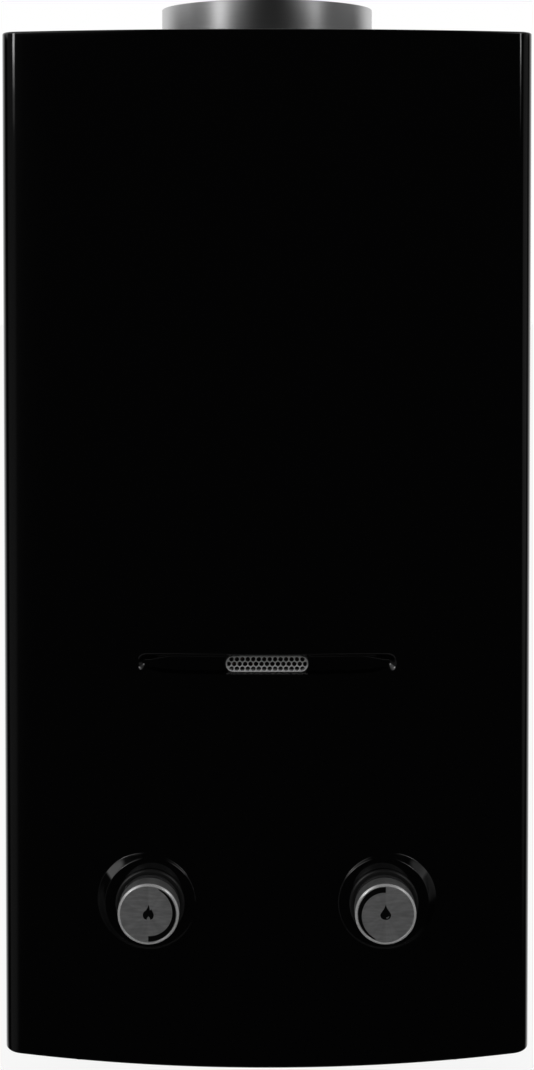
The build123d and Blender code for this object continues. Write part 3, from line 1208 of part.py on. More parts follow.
def knob_cap(x):
    """Drawn metal cap over the front of the knob, keyed to the core by eight flats inside."""
    rear = SEAT_Y - KNOB_REACH + CAP_LENGTH
    with BuildPart() as cap:
        with BuildSketch(front_plane(rear)):
            with Locations((x, KNOB_Z)):
                Circle(KNOB_RADIUS)
        extrude(amount=CAP_LENGTH)
        with BuildSketch(front_plane(rear)):
            with Locations((x, KNOB_Z)):
                RegularPolygon(KNOB_RADIUS - CAP_WALL, 8)
        extrude(amount=CAP_LENGTH - CAP_WALL, mode=Mode.SUBTRACT)
    return cap.part


def stem(x):
    """Valve spindle with a flat that drives the knob."""
    tip = SEAT_Y - CORE_GAP - STEM_GRIP
    root = VALVE_Y - STEM_BOSS_LENGTH + STEM_SINK
    with BuildPart() as spindle:
        with BuildSketch(front_plane(root)):
            with Locations((x, KNOB_Z)):
                Circle(STEM_RADIUS)
        extrude(amount=root - SEAT_Y + CORE_GAP)
        with BuildSketch(front_plane(SEAT_Y - CORE_GAP)):
            with Locations((x, KNOB_Z)):
                add(stem_profile(STEM_RADIUS, STEM_FLAT))
        extrude(amount=SEAT_Y - CORE_GAP - tip)
    return spindle.part


# Knobs: gas on the left, water on the right, each with its bezel, core, cap and stem
with BuildPart() as knob_bezels:
    add(bezel(-KNOB_X))
    add(bezel(KNOB_X))

with BuildPart() as gas_knob_core:
    add(knob_core(-KNOB_X))

with BuildPart() as water_knob_core:
    add(knob_core(KNOB_X))

with BuildPart() as gas_knob_cap:
    add(knob_cap(-KNOB_X))

with BuildPart() as water_knob_cap:
    add(knob_cap(KNOB_X))

with BuildPart() as gas_stem:
    add(stem(-KNOB_X))

with BuildPart() as water_stem:
    add(stem(KNOB_X))

PIECES = {
    "front_cover": front_cover,
    "back_plate": back_plate,
    "top_plate": top_plate,
    "bottom_plate": bottom_plate,
    "flue_collar": flue_collar,
    "draft_hood": draft_hood,
    "chamber_shell": chamber_shell,
    "chamber_brackets": chamber_brackets,
    "fin_stack": fin_stack,
    "fin_tubes": fin_tubes,
    "coil_pipe": coil_pipe,
    "cold_pipe": cold_pipe,
    "hot_pipe": hot_pipe,
    "overheat_cutoff": overheat_cutoff,
    "burner_frame": burner_frame,
    "burner_blades": burner_blades,
    "gas_manifold": gas_manifold,
    "gas_injectors": gas_injectors,
    "gas_riser": gas_riser,
    "electrode_insulators": electrode_insulators,
    "electrode_pins": electrode_pins,
    "gas_valve_body": gas_valve_body,
    "gas_solenoid": gas_solenoid,
    "water_valve_body": water_valve_body,
    "diaphragm": diaphragm,
    "diaphragm_cover": diaphragm_cover,
    "linkage_rod": linkage_rod,
    "linkage_frame": linkage_frame,
    "microswitch": microswitch,
    "microswitch_lever": microswitch_lever,
    "valve_bracket": valve_bracket,
    "cold_inlet": cold_inlet,
    "gas_inlet": gas_inlet,
    "hot_outlet": hot_outlet,
    "drain_plug": drain_plug,
    "ignition_module": ignition_module,
    "ignition_leads": ignition_leads,
    "battery_box": battery_box,
    "battery_cells": battery_cells,
    "battery_contacts": battery_contacts,
    "battery_door": battery_door,
    "door_pin": door_pin,
    "window_mesh": window_mesh,
    "window_pane": window_pane,
    "window_clamp": window_clamp,
    "knob_bezels": knob_bezels,
    "gas_knob_core": gas_knob_core,
    "water_knob_core": water_knob_core,
    "gas_knob_cap": gas_knob_cap,
    "water_knob_cap": water_knob_cap,
    "gas_stem": gas_stem,
    "water_stem": water_stem,
}

os.makedirs("parts", exist_ok=True)
for name, piece in PIECES.items():
    piece.part.label = name
    export_step(piece.part, f"parts/{name}.step")
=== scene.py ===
from math import acos, cos, hypot, pi, radians, sin, sqrt, tan

import bmesh
import bpy
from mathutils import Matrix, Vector


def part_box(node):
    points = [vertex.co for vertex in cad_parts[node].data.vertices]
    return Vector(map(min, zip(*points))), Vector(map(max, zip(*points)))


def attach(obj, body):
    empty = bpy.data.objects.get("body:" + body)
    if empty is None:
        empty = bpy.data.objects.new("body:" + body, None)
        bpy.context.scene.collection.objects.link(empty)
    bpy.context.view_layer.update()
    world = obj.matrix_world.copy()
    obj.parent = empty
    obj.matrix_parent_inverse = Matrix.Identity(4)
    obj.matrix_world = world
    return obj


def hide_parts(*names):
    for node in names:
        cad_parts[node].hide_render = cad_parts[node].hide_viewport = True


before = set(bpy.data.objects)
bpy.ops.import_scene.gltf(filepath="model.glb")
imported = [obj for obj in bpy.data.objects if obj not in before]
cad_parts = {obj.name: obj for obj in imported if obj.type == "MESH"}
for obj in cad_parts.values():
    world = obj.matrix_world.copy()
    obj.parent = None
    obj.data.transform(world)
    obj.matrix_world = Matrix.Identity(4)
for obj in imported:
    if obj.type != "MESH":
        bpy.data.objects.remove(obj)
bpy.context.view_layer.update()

# Front cover: one deep-drawn steel shell with a bowed face, two raised knob seats and a pressed window
# channel, enamelled gloss black on both sides. It hooks on the plates by lips turned in above and below.
mm = 0.001
case_width, case_height, case_depth = 310.0, 600.0, 168.0
front_bow, corner_radius, sheet = 19.2, 12.5, 1.0
lip_width, fold_radius, wall_gap = 12.0, 1.2, 2.0
bow_radius = ((case_width / 2) ** 2 + front_bow**2) / (2 * front_bow)
bow_centre = bow_radius - case_depth
knob_x, knob_z = 67.5, -203.5
seat_y, seat_radius, seat_draft, seat_hole = -167.2, 26.0, radians(35), 18.5
seat_edge, seat_foot = 0.25, 0.3
window_z, channel_length, channel_width, channel_depth = -65.0, 152.0, 12.6, 4.0
channel_rim, end_start, end_run, end_rim = 2.6, 56.0, 12.0, 3.0
mesh_length, mesh_width, mesh_play = 47.6, 9.4, 0.6


class Wire:
    """An output socket that takes part in sums as a number does: each operator adds a Math node."""

    def __init__(self, finish, socket):
        self.finish = finish
        self.socket = socket

    def __add__(self, other):
        return self.finish.math("ADD", self, other)

    def __sub__(self, other):
        return self.finish.math("SUBTRACT", self, other)

    def __rsub__(self, other):
        return self.finish.math("SUBTRACT", other, self)

    def __mul__(self, other):
        return self.finish.math("MULTIPLY", self, other)

    def __pow__(self, other):
        return self.finish.math("POWER", self, other)

    __radd__ = __add__
    __rmul__ = __mul__


class Finish:
    """One material: its main shader, the constants set on it and the nodes that feed it."""

    def __init__(self, name, constants):
        self.material = bpy.data.materials.new(name)
        self.material.use_nodes = True
        self.tree = self.material.node_tree
        self.shader = self.tree.nodes["Principled BSDF"]
        for socket, value in constants.items():
            self.shader.inputs[socket].default_value = value
        self.place = self.node("ShaderNodeTexCoord", {}, {}, "Object")

    def node(self, kind, settings, sockets, output=0):
        """Adds a node: its settings first, then the values or links of its sockets."""
        made = self.tree.nodes.new(kind)
        for name, value in settings.items():
            setattr(made, name, value)
        for key, value in sockets.items():
            self.feed(made.inputs[key], value)
        return Wire(self, made.outputs[output])

    def feed(self, socket, value):
        if isinstance(value, Wire):
            self.tree.links.new(value.socket, socket)
        else:
            socket.default_value = value

    def set(self, socket, value):
        self.feed(self.shader.inputs[socket], value)

    def math(self, operation, *terms):
        return self.node("ShaderNodeMath", {"operation": operation}, dict(enumerate(terms)))

    def axis(self, name, spot):
        """The X, Y or Z of a vector."""
        return self.node("ShaderNodeSeparateXYZ", {}, {0: spot}, name)

    def noise(self, size, detail, stretch=(1.0, 1.0, 1.0)):
        """Soft noise in grains of about that many millimetres, drawn out along the axes by stretch."""
        spot = self.node("ShaderNodeVectorMath", {"operation": "DIVIDE"}, {0: self.place, 1: stretch})
        return self.node("ShaderNodeTexNoise", {}, {"Vector": spot, "Scale": 1 / (size * mm), "Detail": detail})

    def ramp(self, value, low, high):
        """Smooth step of a value from 0 at low to 1 at high."""
        sockets = {"Value": value, "From Min": low, "From Max": high}
        return self.node("ShaderNodeMapRange", {"interpolation_type": "SMOOTHSTEP"}, sockets)

    def mix(self, share, one, other):
        return self.node("ShaderNodeMix", {"data_type": "RGBA"}, {0: share, 6: one, 7: other}, 2)

    def bump(self, height, depth, strength):
        """Bump of that depth in millimetres where the height runs from 0 to 1."""
        sockets = {"Strength": strength, "Distance": depth * mm, "Height": height}
        self.set("Normal", self.node("ShaderNodeBump", {}, sockets))


def piece(name, points, faces, finish, body, slot, *nodes):
    """Smooth-shaded mesh from points in millimetres, set on its body, in place of the nodes it stands for."""
    mesh = bpy.data.meshes.new(name)
    mesh.from_pydata([Vector(p) * mm for p in points], [], faces)
    shape = bmesh.new()
    shape.from_mesh(mesh)
    bmesh.ops.remove_doubles(shape, verts=shape.verts, dist=1e-6)
    bmesh.ops.recalc_face_normals(shape, faces=shape.faces)
    shape.to_mesh(mesh)
    shape.free()
    mesh.shade_smooth()
    mesh.set_sharp_from_angle(angle=radians(40))
    mesh.materials.append(finish.material)
    made = bpy.data.objects.new(name, mesh)
    bpy.context.collection.objects.link(made)
    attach(made, body)
    if nodes:
        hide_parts(*nodes)
    return made


def graded(*stops):
    """Places from the first stop to the last, each stop given as (place, spacing as far as the next one)."""
    places = []
    for (start, spacing), (end, _) in zip(stops, stops[1:]):
        count = max(1, round((end - start) / spacing))
        places += [start + (end - start) * i / count for i in range(count)]
    return places + [stops[-1][0]]


least_radius, side_steps, corner_steps = 0.5, 10, 14


def cover_plan(inset, bow_shares):
    """Plan of the cover's skin taken inwards by inset, from its left rear edge round to its right rear edge."""
    radius = max(corner_radius - inset, least_radius)
    corner_x = case_width / 2 - inset - radius
    corner_y = bow_centre - sqrt((bow_radius - inset - radius) ** 2 - corner_x**2)
    turn = acos(corner_x / (bow_radius - inset - radius))
    side = [(corner_x + radius, -wall_gap + (corner_y + wall_gap) * i / side_steps) for i in range(side_steps)]
    angles = [turn * i / corner_steps for i in range(corner_steps)]
    arc = [(corner_x + radius * cos(angle), corner_y - radius * sin(angle)) for angle in angles]
    reach = (bow_radius - inset) * cos(turn)
    left = [(-x, y) for x, y in side + arc]
    bow = [(share * reach, bow_centre - sqrt((bow_radius - inset) ** 2 - (share * reach) ** 2)) for share in bow_shares]
    return left + bow + [(-x, y) for x, y in reversed(left)]


def slot_distance(x, z, length, width):
    """Distance of (x, z) outside a slot with round ends, negative inside it."""
    run = (length - width) / 2
    return hypot(max(abs(x) - run, 0.0), z - window_z) - width / 2


def seat_relief(x, z, y):
    """The bow's y with the knob seat nearest to x drawn out of it, its edge and its foot rounded."""
    beyond = hypot(abs(x) - knob_x, z - knob_z) - seat_radius
    drop = (beyond + seat_edge) ** 2 / (4 * seat_edge) if abs(beyond) < seat_edge else max(beyond, 0.0)
    seat = seat_y + drop / tan(seat_draft)
    blend = max(seat_foot - abs(seat - y), 0.0)
    return min(seat, y) - blend**2 / (4 * seat_foot)


def cover_y(x, z, y):
    """Y of the pressed front where the plain bow would have y; the channel's ends rise more gently."""
    pressed = seat_relief(x, z, y)
    rim = channel_rim + end_rim * min(max((abs(x) - end_start) / end_run, 0.0), 1.0)
    depth = min(max(-slot_distance(x, z, channel_length, channel_width) / rim, 0.0), 1.0)
    return pressed + channel_depth * depth * depth * (3 - 2 * depth)


bow_half, pressed_half = 145.3, 140.0
patch_near, patch_far, patch_foot, patch_head = 30.0, 104.0, -242.0, -166.0
fold_steps, lip_steps = 5, 4
fine = graded(
    (-bow_half, 4.0), (-patch_far, 1.5), (-80.0, 0.6), (-64.0, 1.7), (-patch_near, 0.45), (-17.0, 2.0),
    (17.0, 0.45), (patch_near, 1.7), (64.0, 0.6), (80.0, 1.5), (patch_far, 4.0), (bow_half, None),
)
bow_shares = [x / bow_half for x in fine]
heights = graded(
    (-case_height / 2 + fold_radius, 5.0), (patch_foot, 1.5), (patch_head, 6.0),
    (window_z - 10.0, 0.4), (window_z + 10.0, 8.0), (case_height / 2 - fold_radius, None),
)
turns = [i * pi / (2 * fold_steps) for i in range(1, fold_steps + 1)]
folds = [(fold_radius * (1 - cos(turn)), fold_radius * (1 - sin(turn))) for turn in turns]
lip = [(fold_radius + (lip_width - fold_radius + sheet) * i / lip_steps, 0.0) for i in range(1, lip_steps + 1)]
skin_rows = [(inset, -case_height / 2 + up) for inset, up in reversed(folds + lip)]
skin_rows += [(0.0, z) for z in heights]
skin_rows += [(inset, case_height / 2 - down) for inset, down in folds + lip]
plans = {inset: cover_plan(inset, bow_shares) for inset, z in skin_rows}
points = []
for inset, z in skin_rows:
    for x, y in plans[inset]:
        points.append((x, cover_y(x, z, y) if inset == 0.0 and abs(x) < pressed_half else y, z))
across = len(plans[0.0])
side_points = (across - len(fine)) // 2
patches = (-patch_far, -patch_near), (patch_near, patch_far)
seat_columns = [(side_points + fine.index(near), side_points + fine.index(far)) for near, far in patches]
seat_rows = [len(folds + lip) + heights.index(z) for z in (patch_foot, patch_head)]
faces = []
for row in range(len(skin_rows) - 1):
    for i in range(across - 1):
        if not (seat_rows[0] <= row < seat_rows[1] and any(a <= i < b for a, b in seat_columns)):
            first = row * across + i
            faces.append((first, first + 1, first + across + 1, first + across))

least_step = 0.02
flat_radii = [seat_hole, seat_hole + 0.5, 22.0, 25.0]
edge_shares, foot_shares = (-1.0, -0.5, 0.0, 0.5, 1.0), (-0.7, -0.35, 0.0, 0.35, 0.7, 3.0)
outer_shares = 0.4, 0.7, 1.0


def seat_rings(x, z):
    """Points from a knob hole out to the grid's (x, z), close together at the seat's edge and foot."""
    centre = knob_x if x > 0 else -knob_x
    reach = hypot(x - centre, z - knob_z)
    way = (x - centre) / reach, (z - knob_z) / reach

    def bow_y(radius):
        return bow_centre - sqrt(bow_radius**2 - (centre + radius * way[0]) ** 2)

    foot = seat_radius
    while seat_y + (foot - seat_radius) / tan(seat_draft) < bow_y(foot):
        foot += least_step
    radii = flat_radii + [seat_radius + seat_edge * share for share in edge_shares]
    radii += [(seat_radius + foot) / 2]
    radii += [foot + seat_foot * share for share in foot_shares]
    radii += [foot + (reach - foot) * share for share in outer_shares]
    spots = []
    for k, radius in enumerate(radii):
        radii[k] = max(radius, radii[k - 1] + least_step) if k else radius
        across, up = centre + radii[k] * way[0], knob_z + radii[k] * way[1]
        spots.append((across, seat_relief(across, up, bow_y(radii[k])), up))
    return spots


low, high = seat_rows
for first, last in seat_columns:
    rim = [(low, i) for i in range(first, last)] + [(row, last) for row in range(low, high)]
    rim += [(high, i) for i in range(last, first, -1)] + [(row, first) for row in range(high, low, -1)]
    spokes = [seat_rings(points[row * across + i][0], points[row * across + i][2]) for row, i in rim]
    start, ring_count = len(points), len(spokes[0])
    points += [spot for spoke in spokes for spot in spoke]
    for i in range(len(rim)):
        here, beside = start + i * ring_count, start + (i + 1) % len(rim) * ring_count
        faces += [(here + k, here + k + 1, beside + k + 1, beside + k) for k in range(ring_count - 1)]

face_back, rim_reach, nudge = -100.0, 0.9, 0.01


def hole_edge(x, z):
    """How far (x, z) lies outside the window's hole in the cover's face, negative inside it."""
    return slot_distance(x, z, mesh_length + mesh_play, mesh_width + mesh_play)


def keeps(face):
    """Whether a face with four corners lies clear of the window's hole."""
    x, y, z = (sum(points[i][k] for i in face) / 4 for k in range(3))
    return y > face_back or hole_edge(x, z) > 0


faces = [face for face in faces if keeps(face)]
for i, (x, y, z) in enumerate(points):
    gap = hole_edge(x, z)
    if y < face_back and abs(gap) < rim_reach:
        slope_x = (hole_edge(x + nudge, z) - gap) / nudge
        slope_z = (hole_edge(x, z + nudge) - gap) / nudge
        beside = [points[j] for j in (i - 1, i + 1, i - across, i + across) if 0 <= j < len(points)]
        if min(abs(hole_edge(spot[0], spot[2])) for spot in beside) >= abs(gap) / 2:
            points[i] = (x - gap * slope_x, y, z - gap * slope_z)

enamel = Finish("black_enamel", {"Base Color": (0.0008, 0.0008, 0.0009, 1), "IOR": 1.7})
peel = enamel.noise(5.0, 1.0)
specks = enamel.noise(0.9, 2.0)
enamel.set("Roughness", 0.05 + 0.04 * enamel.noise(60.0, 3.0))
enamel.bump(peel * 0.8 + specks * 0.2, 0.012, 0.5)
used = sorted({i for face in faces for i in face})
renumber = {old: new for new, old in enumerate(used)}
cover = piece(
    "cover_shell",
    [points[i] for i in used],
    [tuple(renumber[i] for i in face) for face in faces],
    enamel,
    "casing",
    "black_enamel",
    "front_cover",
)
shell = cover.modifiers.new("sheet", "SOLIDIFY")
shell.thickness = sheet * mm
shell.offset = -1.0

# Back, top and bottom plates, draught hood, burner frame and brackets: zinc-coated sheet, punched, folded and
# screwed together, hidden by the cover except from behind and below. The coating freezes in large pale crystals.
galvanised = Finish("galvanised", {"Metallic": 1.0})
crystal = galvanised.node(
    "ShaderNodeTexVoronoi", {}, {"Vector": galvanised.place, "Scale": 1 / (9 * mm)}, "Color"
)
spangle = galvanised.node("ShaderNodeSeparateColor", {}, {0: crystal})
haze = galvanised.noise(40.0, 4.0)
galvanised.set("Base Color", galvanised.mix(spangle * 0.6 + haze * 0.4, (0.36, 0.37, 0.38, 1), (0.7, 0.71, 0.72, 1)))
galvanised.set("Roughness", 0.26 + 0.26 * spangle + 0.1 * haze)
galvanised.bump(galvanised.noise(0.8, 3.0), 0.02, 0.4)


def dress(finish, *nodes):
    """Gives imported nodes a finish."""
    for name in nodes:
        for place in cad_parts[name].material_slots:
            place.material = finish.material


def eased(width, *nodes):
    """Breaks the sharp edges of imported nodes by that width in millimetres."""
    for name in nodes:
        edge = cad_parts[name].modifiers.new("eased", "BEVEL")
        edge.width = width * mm
        edge.segments = 2
        edge.limit_method = "ANGLE"
        edge.angle_limit = radians(50)
        edge.harden_normals = True


dress(galvanised, "back_plate", "top_plate", "bottom_plate", "chamber_brackets", "valve_bracket", "draft_hood")
dress(galvanised, "burner_frame", "window_clamp")
eased(0.25, "back_plate", "top_plate", "bottom_plate", "draft_hood", "burner_frame", "window_clamp", "valve_bracket")

# Flue collar: a ring of stainless strip, seam-welded to a square flange that lies under the top plate, with
# a bare edge above, brushed round its length. The burner blades and the small inner rods and springs are of
# the same steel.
collar_radius, collar_y, collar_foot, collar_top, collar_flange = 65.0, -77.5, 297.0, 319.5, 8.0
collar_sheet, collar_break = 1.0, 0.4


def turned(profile, centre, along, steps_round):
    """Points and faces of a closed profile of (radius, way along the axis) turned about +Z, +X or -Y."""
    rings = []
    for radius, way in profile:
        for i in range(steps_round):
            angle = 2 * pi * i / steps_round
            a, b = radius * cos(angle), radius * sin(angle)
            if along == "up":
                rings.append((centre[0] + a, centre[1] + b, centre[2] + way))
            elif along == "right":
                rings.append((centre[0] + way, centre[1] + a, centre[2] + b))
            else:
                rings.append((centre[0] + a, centre[1] - way, centre[2] + b))
    quads = []
    count = len(profile)
    for k in range(count):
        for i in range(steps_round):
            j = (i + 1) % steps_round
            low, high = k * steps_round, (k + 1) % count * steps_round
            quads.append((low + i, low + j, high + j, high + i))
    return rings, quads


def softened(profile, radius):
    """The closed profile with its corners rounded by that radius."""
    rounded = []
    count = len(profile)
    for k in range(count):
        corner = Vector(profile[k])
        if corner.x < 0.01:
            rounded.append(tuple(corner))
            continue
        before = Vector(profile[k - 1]) - corner
        after = Vector(profile[(k + 1) % count]) - corner
        cut = min(radius, before.length * 0.45, after.length * 0.45)
        start = corner + before.normalized() * cut
        end = corner + after.normalized() * cut
        for i in range(4):
            t = i / 3
            rounded.append(tuple(start * (1 - t) ** 2 + corner * 2 * t * (1 - t) + end * t**2))
    return rounded


steel = Finish("stainless", {"Metallic": 1.0, "Anisotropic": 0.45, "Anisotropic Rotation": 0.25})
brush = steel.noise(0.35, 3.0, (60.0, 60.0, 1.0))
smudge = steel.noise(25.0, 3.0)
steel.set("Base Color", steel.mix(brush, (0.5, 0.5, 0.505, 1), (0.58, 0.58, 0.585, 1)))
steel.set("Roughness", 0.3 + 0.1 * brush + 0.06 * smudge)
steel.bump(brush, 0.004, 0.2)
inner = collar_radius - collar_sheet
ring = [(inner, collar_foot), (collar_radius, collar_foot), (collar_radius, collar_top), (inner, collar_top)]
collar = turned(softened(ring, collar_break), (0.0, collar_y, 0.0), "up", 192)


def outline_mesh(loops, depth, bevel):
    """Mesh of a flat plate with holes, from loops of (x, y) in millimetres, centred on its thickness."""
    curve = bpy.data.curves.new("outline", "CURVE")
    curve.dimensions = "2D"
    curve.fill_mode = "BOTH"
    curve.extrude = max(depth / 2 - bevel, 0.001) * mm
    curve.bevel_depth = bevel * mm
    curve.bevel_resolution = 2
    curve.offset = -bevel * mm
    for loop in loops:
        spline = curve.splines.new("POLY")
        spline.points.add(len(loop) - 1)
        for spot, (x, y) in zip(spline.points, loop):
            spot.co = (x * mm, y * mm, 0.0, 1.0)
        spline.use_cyclic_u = True
    holder = bpy.data.objects.new("outline", curve)
    bpy.context.collection.objects.link(holder)
    bpy.context.view_layer.update()
    mesh = bpy.data.meshes.new_from_object(holder.evaluated_get(bpy.context.evaluated_depsgraph_get()))
    flat = [tuple(v.co / mm) for v in mesh.vertices], [tuple(p.vertices) for p in mesh.polygons]
    bpy.data.objects.remove(holder)
    bpy.data.curves.remove(curve)
    bpy.data.meshes.remove(mesh)
    return flat


def circle(radius, count, x=0.0, y=0.0):
    return [(x + radius * cos(2 * pi * i / count), y + radius * sin(2 * pi * i / count)) for i in range(count)]


def joined(*parts):
    """One list of points and one of faces from several pairs of them."""
    points, faces = [], []
    for more, more_faces in parts:
        faces += [tuple(i + len(points) for i in face) for face in more_faces]
        points += more
    return points, faces


edge = collar_radius + collar_flange
square = [(edge, edge), (-edge, edge), (-edge, -edge), (edge, -edge)]
flange, flange_faces = outline_mesh([square, circle(collar_radius - collar_sheet / 2, 96)], collar_sheet, 0.2)
flange = [(x, collar_y + y, collar_foot + collar_sheet / 2 + z) for x, y, z in flange]
points, faces = joined(collar, (flange, flange_faces))
piece("collar_ring", points, faces, steel, "casing", "stainless", "flue_collar")
dress(steel, "burner_blades", "electrode_pins", "linkage_rod", "microswitch_lever", "battery_contacts")

# Rivets and cover screws: four domed steel rivets through the top plate and the collar flange, and two
# zinc-plated pan-head screws with cross recesses up through the cover's lower lip. The door's pin and the knobs'
# stems are plated the same way.
zinc = Finish("zinc_plate", {"Metallic": 1.0})
zinc_tint = zinc.noise(3.0, 3.0)
zinc.set("Base Color", zinc.mix(zinc_tint, (0.5, 0.5, 0.48, 1), (0.68, 0.68, 0.66, 1)))
zinc.set("Roughness", 0.25 + 0.2 * zinc_tint)
on_axis, rivet_reach, top_face = 0.0001, 64.0, 299.0
dome = [(on_axis, 0.0), (2.4, 0.0), (2.35, 0.35), (1.95, 0.75), (1.2, 1.0), (on_axis, 1.05)]
for i, (right, back) in enumerate(((1, 1), (-1, 1), (-1, -1), (1, -1))):
    points, faces = turned(dome, (right * rivet_reach, collar_y + back * rivet_reach, top_face), "up", 32)
    piece(f"collar_rivet_{i + 1}", points, faces, zinc, "casing", "zinc")

arm, half = 2.2, 0.45
cross = [
    (half, half), (half, arm), (-half, arm), (-half, half), (-arm, half), (-arm, -half),
    (-half, -half), (-half, -arm), (half, -arm), (half, -half), (arm, -half), (arm, half),
]
screw_x, screw_radius, screw_height, recess_radius, recess_top = 110.0, 3.6, 1.6, 3.3, -0.5
screw_y = bow_centre - sqrt(bow_radius**2 - screw_x**2) + sheet + lip_width / 2
under = -screw_height / 2
recess = [(on_axis, under), (recess_radius, under), (recess_radius, recess_top), (on_axis, recess_top)]
head = outline_mesh([circle(screw_radius, 40), cross], screw_height, 0.6)
flat, plates = joined(head, turned(recess, (0, 0, 0), "up", 24))
level = -case_height / 2 - screw_height / 2
for number, side in enumerate((-1, 1)):
    points = [(side * screw_x + x, screw_y - y, level - z) for x, y, z in flat]
    piece(f"cover_screw_{number + 1}", points, plates, zinc, "casing", "zinc")
dress(zinc, "door_pin", "gas_stem", "water_stem")

# Combustion chamber, fins and pipes: sheet copper and drawn copper tube, browned by heat. The tube is bent cold
# round formers and brazed into the fins and on to the chamber.
copper = Finish("copper", {"Metallic": 1.0})
stain = copper.noise(18.0, 4.0)
fleck = copper.noise(2.0, 2.0)
warm = copper.mix(stain, (0.76, 0.42, 0.28, 1), (0.52, 0.25, 0.16, 1))
copper.set("Base Color", copper.mix(0.35 * fleck, warm, (0.3, 0.14, 0.1, 1)))
copper.set("Roughness", 0.22 + 0.25 * stain)
copper.bump(fleck, 0.02, 0.3)
dress(copper, "chamber_shell", "fin_stack")
valve_y, outlet_x, tube_radius, tube_sides, arc_steps = -92.18, -122.0, 6.0, 24, 8


def drawn_tube(route, bend):
    """Points and faces of a round tube along the straight runs of a route, bent round each of its corners."""
    corners = [Vector(spot) for spot in route]
    line = [corners[0]]
    for before, corner, after in zip(corners, corners[1:], corners[2:]):
        back, on = (before - corner).normalized(), (after - corner).normalized()
        half = back.angle(on) / 2
        centre = corner + (back + on).normalized() * (bend / sin(half))
        start, end = (corner + leg * (bend / tan(half)) - centre for leg in (back, on))
        line += [centre + start.slerp(end, i / arc_steps).normalized() * bend for i in range(arc_steps + 1)]
    line.append(corners[-1])
    points, faces = [], []
    side = (line[1] - line[0]).orthogonal()
    for k, spot in enumerate(line):
        run = (line[min(k + 1, len(line) - 1)] - line[max(k - 1, 0)]).normalized()
        side = (side - run * side.dot(run)).normalized()
        other = run.cross(side)
        for i in range(tube_sides):
            angle = 2 * pi * i / tube_sides
            points.append(tuple(spot + (side * cos(angle) + other * sin(angle)) * tube_radius))
    for k in range(len(line) - 1):
        for i in range(tube_sides):
            low, high = k * tube_sides, (k + 1) * tube_sides
            j = (i + 1) % tube_sides
            faces.append((low + i, low + j, high + j, high + i))
    last = (len(line) - 1) * tube_sides
    faces += [tuple(range(tube_sides)), tuple(range(last, last + tube_sides))]
    return points, faces


pipe_runs = (
    ("fin_tubes", 14.75, [
        (103, -34, 92), (-116, -34, 92), (-116, -64, 92), (116, -64, 92), (116, -94, 92), (-103, -94, 92),
    ]),
    ("coil_pipe", 15.0, [
        (106.5, -108, -60), (106.5, -108, -30), (106.5, -13.5, -30), (-106.5, -13.5, -30),
        (-106.5, -126.5, -30), (122, -126.5, 15), (122, -34, 15), (122, -34, 92), (103, -34, 92),
    ]),
    ("cold_pipe", 10.0, [
        (knob_x, valve_y, -177.5), (knob_x, valve_y, -165.5), (106.5, -108, -165.5), (106.5, -108, -60),
    ]),
    ("hot_pipe", 15.0, [
        (-103, -94, 92), (outlet_x, -94, 92), (outlet_x, -94, -212),
        (outlet_x, valve_y, -237), (outlet_x, valve_y, -262),
    ]),
    ("gas_riser", 10.0, [
        (-knob_x, valve_y, -177.5), (-knob_x, valve_y, -165.5), (-knob_x, -138, -146), (-knob_x, -138, -134),
    ]),
)
for name, bend, route in pipe_runs:
    points, faces = drawn_tube(route, bend)
    piece(name + "_drawn", points, faces, copper, "casing", "copper", name)

# Gas valve, manifold and linkage frame: die-cast aluminium, shot-blasted to a matt grainy skin, with the edges
# broken. They are screwed to the bracket and the burner behind the cover.
cast = Finish("cast_aluminium", {"Metallic": 1.0})
grit = cast.noise(0.7, 3.0)
cast.set("Base Color", cast.mix(cast.noise(12.0, 3.0), (0.5, 0.51, 0.52, 1), (0.68, 0.69, 0.7, 1)))
cast.set("Roughness", 0.42 + 0.2 * grit)
cast.bump(grit, 0.06, 0.6)
dress(cast, "gas_manifold", "gas_valve_body", "linkage_frame")
eased(0.8, "gas_manifold", "gas_valve_body", "linkage_frame")

# Pipe connections: turned brass nipples with a hexagon under the plate and a half-inch pipe thread; the
# water valve, the diaphragm cover and the jets are brass too.
brass = Finish("brass", {"Metallic": 1.0})
tarnish = brass.noise(9.0, 4.0)
lathe_mark = brass.noise(0.6, 1.0, (30.0, 30.0, 1.0))
brass.set("Base Color", brass.mix(tarnish, (0.76, 0.58, 0.27, 1), (0.5, 0.36, 0.15, 1)))
brass.set("Roughness", 0.2 + 0.2 * tarnish + 0.1 * lathe_mark)
brass.bump(lathe_mark, 0.01, 0.3)
dress(brass, "water_valve_body", "diaphragm_cover", "gas_injectors")
eased(0.8, "water_valve_body", "diaphragm_cover")
thread_pitch, thread_depth, crest_radius, bore_radius = 1.814, 1.1, 10.48, 7.0
nipple_end, hexagon_foot, plate_under = -325.0, -305.0, -299.0
lead_in_radius, bore_break, neck_radius, hexagon_flats = 9.0, 0.4, 10.2, 26.0


def thread_radius(z, share):
    """Radius of the thread at height z and that share of a turn, with a lead-in chamfer at its end."""
    wave = 0.5 + 0.5 * cos(2 * pi * (z / thread_pitch - share))
    return min(crest_radius - thread_depth * wave**1.5, lead_in_radius + (z - nipple_end))


